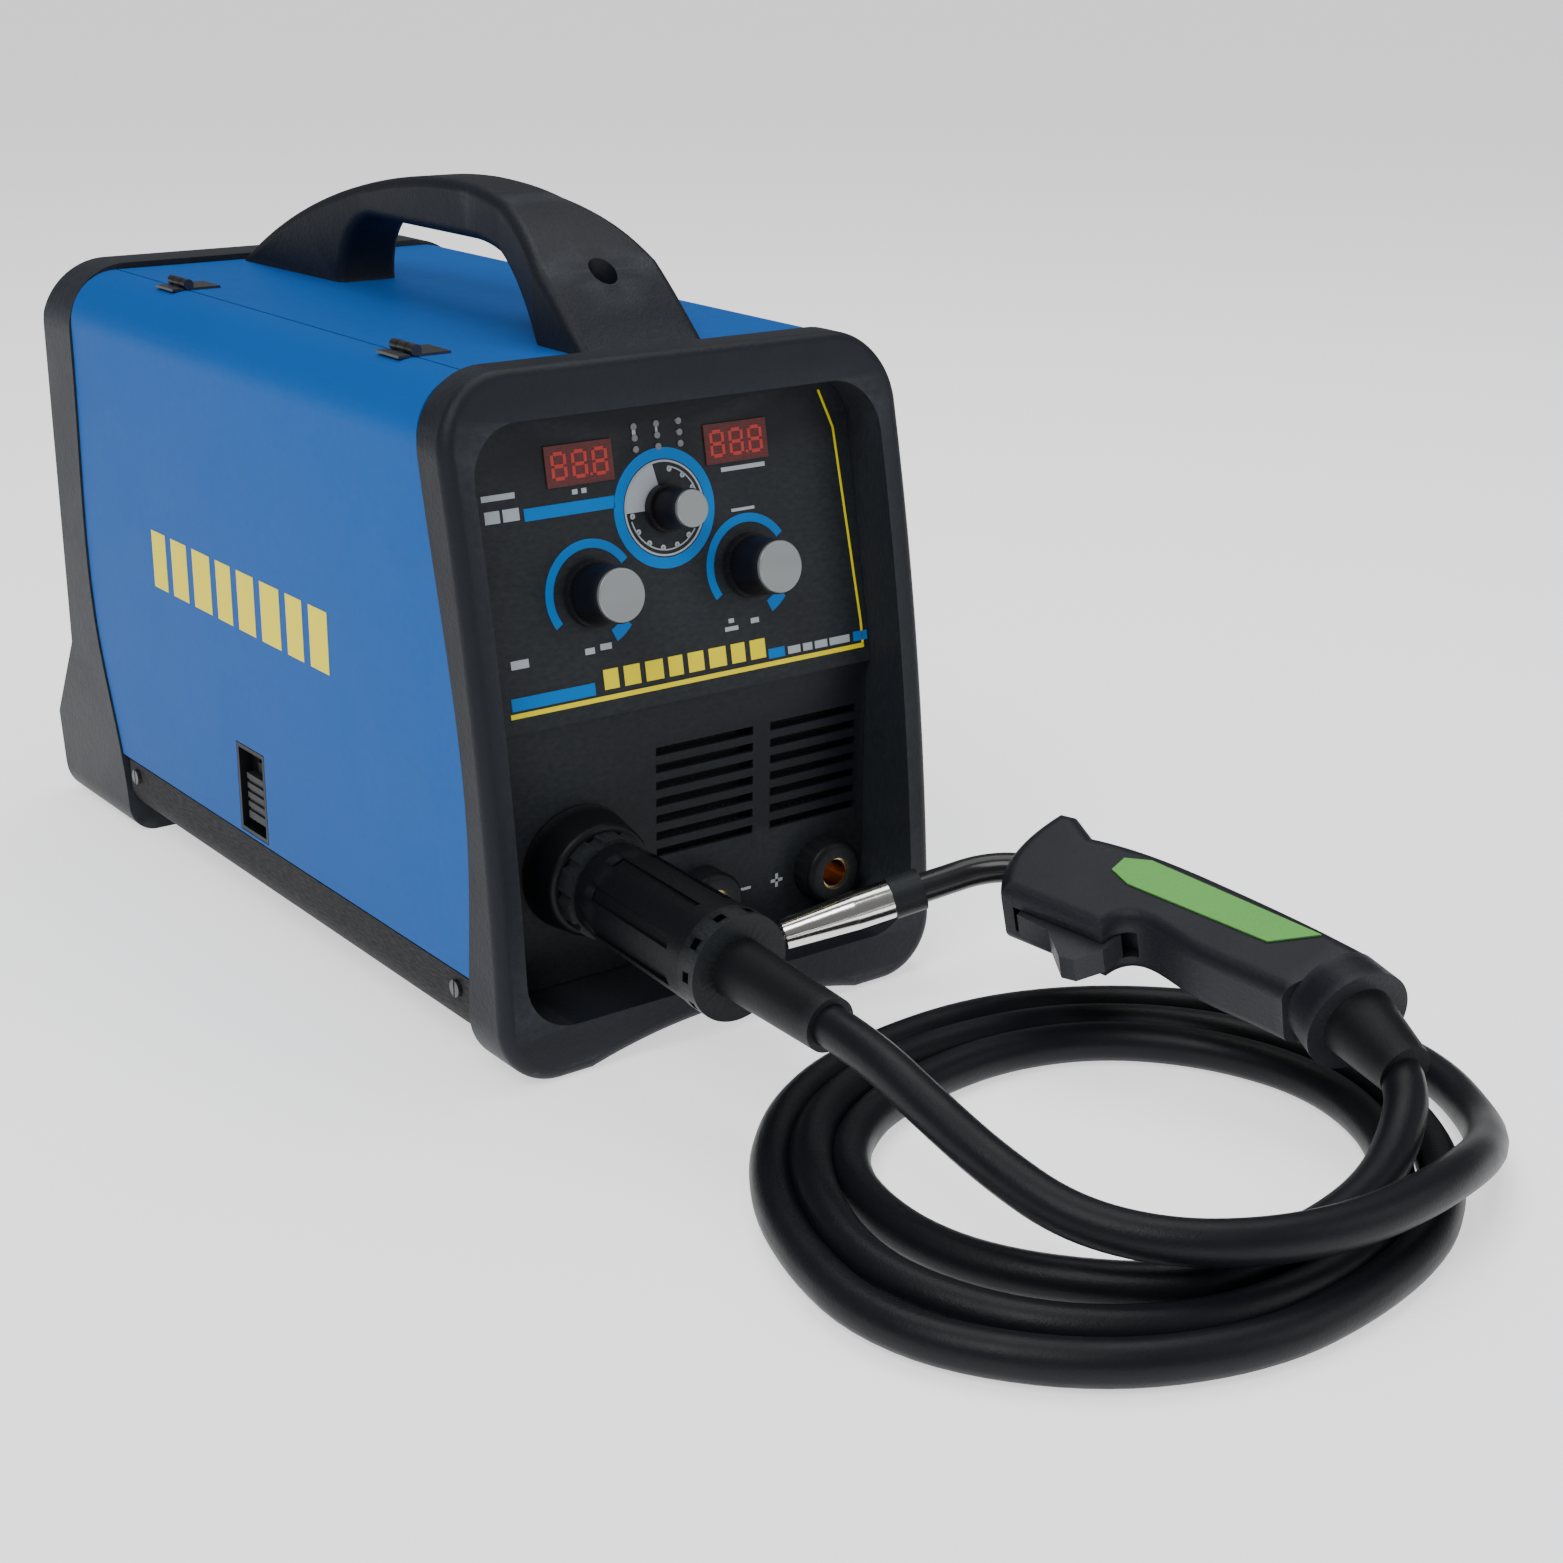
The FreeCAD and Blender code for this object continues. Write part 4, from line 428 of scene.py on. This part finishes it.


# %% [markdown]
# The finishes are black moulded plastics, blue and black paint on sheet steel, rubber on the cable
# and boots, chrome, brass and copper at the torch and sockets, and the inks of the prints. The
# colour, the roughness and the size of the grain carry most of the difference between them.

# %% All finishes
# Each worn colour below is laid on the rims that stand out: partly rubbed wear, partly a painted
# highlight where the light catches an edge.
PALE = (0.085, 0.095, 0.105)
FINISHES = {
    "frame_plastic": dict(colour=(0.010, 0.012, 0.017), rough=0.50, scale=700, height=0.30,
                          worn_and_highlight=PALE, wear_and_highlight_by=0.35),
    "panel_plastic": dict(colour=(0.009, 0.011, 0.015), rough=0.46, scale=1100, height=0.12,
                          worn_and_highlight=PALE),
    "blue_paint": dict(colour=(0.0, 0.085, 0.35), rough=0.50, shine=0.10, drift_by=0.10, marks=0.10,
                       scale=260, height=0.07, worn_and_highlight=(0.02, 0.13, 0.48), wear_and_highlight_by=0.3),
    "black_paint": dict(colour=(0.002, 0.002, 0.003), rough=0.62, scale=500, height=0.25,
                        shine=0.05),
    "zinc_sheet": dict(colour=(0.52, 0.53, 0.54), rough=0.38, metal=1.0, drift_by=0.5, scale=180,
                       height=0.05),
    "screw_steel": dict(colour=(0.035, 0.035, 0.037), rough=0.42, metal=1.0, scale=500,
                        worn_and_highlight=(0.6, 0.6, 0.6)),
    "display_red": dict(colour=(0.10, 0.008, 0.008), rough=0.20, coat=0.3, drift_by=0.2,
                        height=0.02),
    "lamp_clear": dict(colour=(0.20, 0.21, 0.22), rough=0.2, coat=0.6, height=0.02),
    "knob_black": dict(colour=(0.006, 0.006, 0.008), rough=0.42, scale=800, height=0.18, worn_and_highlight=PALE),
    "knob_grey": dict(colour=(0.26, 0.28, 0.29), rough=0.36, metal=0.5, scale=500, height=0.06,
                      stretch=(1, 1, 6)),
    "black_plastic": dict(colour=(0.005, 0.006, 0.008), rough=0.44, scale=800, height=0.22,
                          worn_and_highlight=PALE, wear_and_highlight_by=0.35),
    "brass": dict(colour=(0.80, 0.55, 0.22), rough=0.24, metal=1.0, drift_by=0.5, scale=300,
                  height=0.06, worn_and_highlight=(0.9, 0.75, 0.45), stretch=(1, 12, 1)),
    "cable_rubber": dict(colour=(0.006, 0.007, 0.010), rough=0.42, scale=1400, height=0.20,
                         drift_by=0.5, marks=0.25, worn_and_highlight=PALE, wear_and_highlight_by=0.1),
    "boot_rubber": dict(colour=(0.006, 0.007, 0.009), rough=0.50, scale=1200, height=0.22,
                        drift_by=0.4, worn_and_highlight=PALE),
    "torch_plastic": dict(colour=(0.011, 0.012, 0.017), rough=0.46, scale=900, height=0.28,
                          worn_and_highlight=PALE, wear_and_highlight_by=0.4),
    "torch_green": dict(colour=(0.11, 0.42, 0.07), rough=0.52, scale=420, height=0.45, drift_by=0.2,
                        worn_and_highlight=(0.30, 0.62, 0.25)),
    "nozzle_chrome": dict(colour=(0.78, 0.77, 0.75), rough=0.14, metal=1.0, drift_by=0.35,
                          marks=0.2, scale=240, height=0.05, worn_and_highlight=(0.9, 0.9, 0.9)),
    "copper_tip": dict(colour=(0.72, 0.34, 0.18), rough=0.28, metal=1.0, drift_by=0.6, height=0.05),
    "neck_black": dict(colour=(0.013, 0.013, 0.015), rough=0.28, coat=0.3, height=0.05, worn_and_highlight=PALE),
    "spool_plastic": dict(colour=(0.022, 0.022, 0.024), rough=0.30, scale=500, height=0.08,
                          worn_and_highlight=PALE),
    "wire_copper": dict(colour=(0.66, 0.33, 0.17), rough=0.26, metal=1.0, drift_by=0.8, scale=110,
                        height=0.9, stretch=(9, 0.6, 0.6)),
    "cast_grey": dict(colour=(0.30, 0.31, 0.32), rough=0.55, metal=0.8, scale=350, height=0.35,
                      worn_and_highlight=(0.5, 0.5, 0.5)),
    "motor_black": dict(colour=(0.016, 0.016, 0.018), rough=0.36, scale=500, height=0.12),
    "steel_roll": dict(colour=(0.56, 0.56, 0.56), rough=0.24, metal=1.0, scale=300, height=0.08,
                       stretch=(12, 1, 1)),
    "finned_aluminium": dict(colour=(0.20, 0.21, 0.22), rough=0.42, metal=1.0, scale=200,
                             height=0.08, stretch=(1, 0.05, 1)),
    "core_dark": dict(colour=(0.09, 0.09, 0.10), rough=0.62, drift_by=0.6, scale=200, height=0.5),
    "fan_black": dict(colour=(0.018, 0.018, 0.019), rough=0.42, scale=800, height=0.12),
    "switch_red": dict(colour=(0.42, 0.015, 0.012), rough=0.26, coat=0.5, height=0.05),
    "print_blue": dict(colour=(0.0, 0.17, 0.55), rough=0.36, drift_by=0.12, height=0.05,
                       wear_and_highlight_by=0.0),
    "print_white": dict(colour=(0.40, 0.44, 0.48), rough=0.40, drift_by=0.25, height=0.05,
                        wear_and_highlight_by=0.0),
    "print_yellow": dict(colour=(0.92, 0.76, 0.0), rough=0.42, drift_by=0.15, height=0.05,
                         wear_and_highlight_by=0.0),
    "floor_grey": dict(colour=(0.86, 0.86, 0.86), rough=0.75, drift_by=0.02, scale=60, height=0.02,
                       wear_and_highlight_by=0.0),
}
MATERIALS = {name: finish(name, **numbers) for name, numbers in FINISHES.items()}
print("finishes:", len(MATERIALS))

# %% [markdown]
# The floor gives off light of its own, so that it stays pale where the lamps don't reach.

# %% Floor glow
FLOOR_GLOW = 1.0
floor_shader = MATERIALS["floor_grey"].node_tree.nodes["Principled BSDF"]
floor_shader.inputs["Emission Color"].default_value = (1.0, 1.0, 1.0, 1.0)
floor_shader.inputs["Emission Strength"].default_value = FLOOR_GLOW

# %% [markdown]
# The segments of the displays give off their own red light. A fine noise makes it uneven, as the
# light of a small diode behind a diffuser is.

# %% Segment glow
SEGMENT_GLOW = 0.20
lit = bpy.data.materials.new("segment_glow")
lit.use_nodes = True
glow = lit.node_tree.nodes["Principled BSDF"]
flicker = add(lit.node_tree, "ShaderNodeTexNoise")
flicker.inputs["Scale"].default_value = 400.0
ramp = add(lit.node_tree, "ShaderNodeValToRGB")
ramp.color_ramp.elements[0].color = (0.30, 0.010, 0.008, 1.0)
ramp.color_ramp.elements[1].color = (0.44, 0.022, 0.016, 1.0)
lit.node_tree.links.new(flicker.outputs["Fac"], ramp.inputs["Fac"])
lit.node_tree.links.new(ramp.outputs["Color"], glow.inputs["Base Color"])
lit.node_tree.links.new(ramp.outputs["Color"], glow.inputs["Emission Color"])
glow.inputs["Emission Strength"].default_value = SEGMENT_GLOW
MATERIALS["segment_glow"] = lit

# %% [markdown]
# Each CAD node wears the finish that its record names, so nothing has to be listed twice.

# %% Painting the nodes


def paint(piece, name):
    piece.data.materials.clear()
    piece.data.materials.append(MATERIALS[name])


for entry in frame["record"]["subparts"]:
    paint(NODES[entry["node"]], entry["material_slot"])
paint(cable, "cable_rubber")
paint(floor, "floor_grey")

# %% [markdown]
# Each print is a thin raised film. A painted image would blur when seen close, so every bar and
# ring is a piece of its own. They are laid out flat, in millimetres from the bottom middle of the
# control panel, and the whole set is then leaned back with the panel and set on its face. The
# thickness of a bar in millimetres, divided by EASED, is its eased edge in metres.

# %% Helpers for prints
PANEL_LEAN = math.radians(79.4)
PANEL_FOOT = (0.0, -0.2102, 0.150)
FILM = 0.25
EASED = 3200
RING_SIDES = 120


def edit(piece, *steps):
    """Runs edit-mode operators on the whole of one piece."""
    deselect()
    piece.select_set(True)
    bpy.context.view_layer.objects.active = piece
    bpy.ops.object.mode_set(mode="EDIT")
    bpy.ops.mesh.select_all(action="SELECT")
    for step, settings in steps:
        step(**settings)
    bpy.ops.object.mode_set(mode="OBJECT")


def bar(x0, y0, x1, y1, lift=0.0, thick=FILM, turn=0.0):
    """A thin block between two corners, its edges eased by about a third of its thickness."""
    deselect()
    middle = ((x0 + x1) / 2000, (y0 + y1) / 2000, (lift + thick / 2) / 1000)
    bpy.ops.mesh.primitive_cube_add(size=1.0, location=middle, rotation=(0.0, 0.0, turn))
    piece = bpy.context.object
    piece.scale = (abs(x1 - x0) / 1000, abs(y1 - y0) / 1000, thick / 1000)
    settle(piece)
    edit(piece, (bpy.ops.mesh.bevel, dict(offset=thick / EASED, segments=2)))
    return piece


def ring(x, y, radius, width, start=0.0, end=360.0):
    """A flat ring, or the part of it between two angles in degrees."""
    deselect()
    inner = (radius - width / 2) / 1000
    bpy.ops.mesh.primitive_circle_add(vertices=RING_SIDES, radius=inner, fill_type="NOTHING")
    piece = bpy.context.object
    if end - start < 360.0:
        edit(piece, (bpy.ops.mesh.select_mode, dict(type="VERT")),
             (bpy.ops.mesh.select_all, dict(action="DESELECT")))
        for corner in piece.data.vertices:
            angle = (math.degrees(math.atan2(corner.co.y, corner.co.x)) - start) % 360.0
            corner.select = angle > end - start
        bpy.ops.object.mode_set(mode="EDIT")
        bpy.ops.mesh.delete(type="VERT")
        bpy.ops.object.mode_set(mode="OBJECT")
    grow = (radius + width / 2) / (radius - width / 2)
    edit(piece, (bpy.ops.mesh.extrude_region_move, {}),
         (bpy.ops.transform.resize, dict(value=(grow, grow, 1.0), center_override=(0.0, 0.0, 0.0))))
    raised = dict(TRANSFORM_OT_translate=dict(value=(0.0, 0.0, FILM / 1000)))
    edit(piece, (bpy.ops.mesh.extrude_region_move, raised))
    edit(piece, (bpy.ops.mesh.normals_make_consistent, {}))
    piece.location = (x / 1000, y / 1000, 0.0)
    return settle(piece)


def on_panel(name, pieces, material):
    """Joins flat pieces, leans them with the control panel and sets them on its face."""
    piece = merge(name, pieces)
    piece.rotation_euler = (PANEL_LEAN, 0.0, 0.0)
    piece.location = PANEL_FOOT
    settle(piece)
    paint(piece, material)
    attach(piece, "case")
    print(name, "faces:", len(piece.data.polygons))


# %% [markdown]
# The blue print is the bar that leads into the dial, the dial's ring, an arc round each lower knob
# with a short tail below it, and the bars at the foot. A ring starts as a circle, loses the part
# outside its angles, and is grown outwards and then up.

# %% Blue print
DIAL = (0.0, 87.0)
KNOB_SIDE = 42.9
KNOB_HEIGHT = 55.0
blue = [bar(-72.5, 90.5, -26.0, 96.0), ring(*DIAL, 24.5, 5.0), bar(-90.0, 10.2, -47.0, 15.8)]
blue += [bar(48.5, 10.4, 57.9, 15.0), bar(98.7, 10.4, 107.0, 15.0)]
for side in (-KNOB_SIDE, KNOB_SIDE):
    blue.append(ring(side, KNOB_HEIGHT, 22.0, 4.0, 30.0, 215.0))
    blue.append(ring(side, KNOB_HEIGHT, 22.0, 6.0, -66.0, -42.0))
on_panel("print_blue", blue, "print_blue")

# %% [markdown]
# The white print is a fine ring and a sector inside the dial, a scale of dots along a thin arc,
# and short plain bars where a machine carries its labels. Plain bars say nothing, so they suit
# any machine.

# %% White print
DOTS = 11
DOT_FROM = 75
DOT_STEP = 25
DOT_REACH = 17.6
white = [ring(*DIAL, 21.0, 0.9), ring(*DIAL, 14.6, 12.6, 100.0, 182.0)]
for step in range(DOTS):
    around = math.radians(DOT_FROM - DOT_STEP * step)
    spot = (DIAL[0] + DOT_REACH * math.cos(around), DIAL[1] + DOT_REACH * math.sin(around))
    white.append(ring(*spot, 0.8, 0.9))
white.append(ring(*DIAL, 18.6, 0.6, 190.0, 440.0))
LABEL_BARS = [
    (-92.7, 101.2, -76.0, 103.8), (-92.0, 91.6, -84.5, 97.0), (-83.0, 91.6, -74.8, 97.0),
    (32.6, 99.0, 57.2, 101.0), (-47.2, 99.0, -44.4, 101.2), (-42.4, 99.0, -39.8, 101.2),
    (-50.0, 28.6, -45.0, 31.4), (-42.0, 29.4, -36.0, 32.2), (25.6, 26.8, 33.0, 28.8),
    (28.0, 30.4, 31.0, 32.4), (40.4, 28.4, 45.0, 30.8), (36.0, 80.4, 49.0, 81.8),
    (-88.0, 28.2, -79.0, 32.0), (59.8, 10.8, 67.0, 14.4), (68.6, 10.8, 74.0, 14.4),
    (75.6, 10.8, 83.0, 14.4), (84.4, 10.8, 96.4, 14.4), (-12.9, 119.6, -11.1, 125.4),
    (-0.6, 119.4, 0.6, 125.6), (10.4, 124.6, 13.6, 125.4), (10.4, 119.6, 13.6, 120.4),
]
for corners in LABEL_BARS:
    white.append(bar(*corners))
on_panel("print_white", white, "print_white")

# %% [markdown]
# The yellow print is the rule along the foot, the fine line up the right side, and a row of plain
# blocks, where a machine carries lettering. The line has two slanting lengths, each a bar that is
# turned before it is eased.

# %% Yellow print
HALF_LINE = 0.6
yellow = [bar(-91.0, 6.9, 104.6, 9.1), bar(103.4, 8.0, 104.6, 20.0)]
for (x0, y0), (x1, y1) in (((92.0, 130.0), (98.5, 112.0)), ((98.5, 112.0), (104.0, 20.0))):
    long = math.hypot(x1 - x0, y1 - y0)
    tilt = math.atan2(y1 - y0, x1 - x0)
    across, middle = (x0 + x1) / 2, (y0 + y1) / 2
    left, right_end = across - long / 2, across + long / 2
    yellow.append(bar(left, middle - HALF_LINE, right_end, middle + HALF_LINE, turn=tilt))
BLOCK_WIDTHS = (0.9, 1.0, 1.1, 0.9, 1.0, 1.1, 0.9, 1.0)


def blocks(x0, x1, y0, y1, gap):
    """A plain row of blocks that fills the space between x0 and x1."""
    unit = (x1 - x0 - gap * (len(BLOCK_WIDTHS) - 1)) / sum(BLOCK_WIDTHS)
    row = []
    at = x0
    for share in BLOCK_WIDTHS:
        row.append(bar(at, y0, at + share * unit, y1, thick=0.2))
        at += share * unit + gap
    return row


yellow += blocks(-42.0, 47.0, 11.6, 20.6, 3.0)
on_panel("print_yellow", yellow, "print_yellow")

# %% [markdown]
# A minus and a plus stand between the two current sockets. They are bars, laid out as the prints
# are, and stood up on the face of the lower panel.

# %% Signs
SIGN_T = 0.2
signs = [bar(34.0, 47.0, 40.0, 48.4, thick=SIGN_T), bar(52.0, 46.9, 59.0, 48.5, thick=SIGN_T),
         bar(54.7, 44.2, 56.3, 51.2, thick=SIGN_T)]
socket_signs = merge("socket_signs", signs)
socket_signs.rotation_euler = (math.radians(90), 0.0, 0.0)
socket_signs.location = (0.0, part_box("lower_panel")[0].y, 0.0)
settle(socket_signs)
paint(socket_signs, "print_white")
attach(socket_signs, "case")

# %% [markdown]
# A dark dust filter lies behind the louvres. It could be a plain plate. Flat strands with small
# holes between them were chosen, because they look woven when seen through the slots.

# %% Filter
FILTER_LEFT, FILTER_RIGHT = -15.0, 99.0
FILTER_LOW, FILTER_TOP = 70.0, 136.0
FILTER_FACE = -0.1988
PITCH = 4.0
STRAND = 3.2
STRAND_T = 0.8
UPRIGHTS = 28
CROSSINGS = 17
CROSSING_LIFT = 0.5
strands = []
for step in range(UPRIGHTS):
    at = FILTER_LEFT + PITCH * step
    strands.append(bar(at, FILTER_LOW, at + STRAND, FILTER_TOP, 0.0, STRAND_T))
for step in range(CROSSINGS):
    at = FILTER_LOW + PITCH * step
    strands.append(bar(FILTER_LEFT, at, FILTER_RIGHT, at + STRAND, CROSSING_LIFT, STRAND_T))
dust_filter = merge("dust_filter", strands)
dust_filter.rotation_euler = (math.radians(90), 0.0, 0.0)
dust_filter.location = (0.0, FILTER_FACE, 0.0)
settle(dust_filter)
paint(dust_filter, "black_plastic")
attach(dust_filter, "case")
print("filter strands:", len(strands))

# %% [markdown]
# Each window shows three digits of seven segments, with a point after the second. One function
# builds a digit from bars, and it is called for all six.

# %% Displays
DISPLAY_FACE = 0.8
SEGMENT_T = 0.12
DIGIT_STEP = 10.6
DIGIT_HEIGHT = 112.0


def digit(x, y, lift):
    row = []
    for level in (-5.4, 0.0, 5.4):
        row.append(bar(x - 2.3, y + level - 0.8, x + 2.3, y + level + 0.8, lift, SEGMENT_T))
    for side in (-3.2, 3.2):
        for low in (-5.0, 0.6):
            left, right_end = x + side - 0.8, x + side + 0.8
            row.append(bar(left, y + low, right_end, y + low + 4.4, lift, SEGMENT_T))
    return row


segments = []
for centre in (-42.15, 42.15):
    for step in (-DIGIT_STEP, 0.0, DIGIT_STEP):
        segments += digit(centre + step, DIGIT_HEIGHT, DISPLAY_FACE)
    segments.append(bar(centre + 4.9, 106.2, centre + 6.1, 107.4, DISPLAY_FACE, SEGMENT_T))
on_panel("display_digits", segments, "segment_glow")

# %% [markdown]
# The door carries the same plain row of blocks, larger. It is stood up, turned to face left, and
# rides on the door, so it swings with it.

# %% Door print
DOOR_PRINT_AT = (-0.120, -0.007, 0.154)
door_row = merge("door_print", blocks(-103.5, 89.5, 0.0, 30.0, 7.0))
door_row.rotation_euler = (math.radians(90), 0.0, math.radians(-90))
door_row.location = DOOR_PRINT_AT
settle(door_row)
paint(door_row, "print_yellow")
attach(door_row, "door")

# %% [markdown]
# The view layer is updated at the end, because the last pieces have just moved.

# %% Last update
bpy.context.view_layer.update()
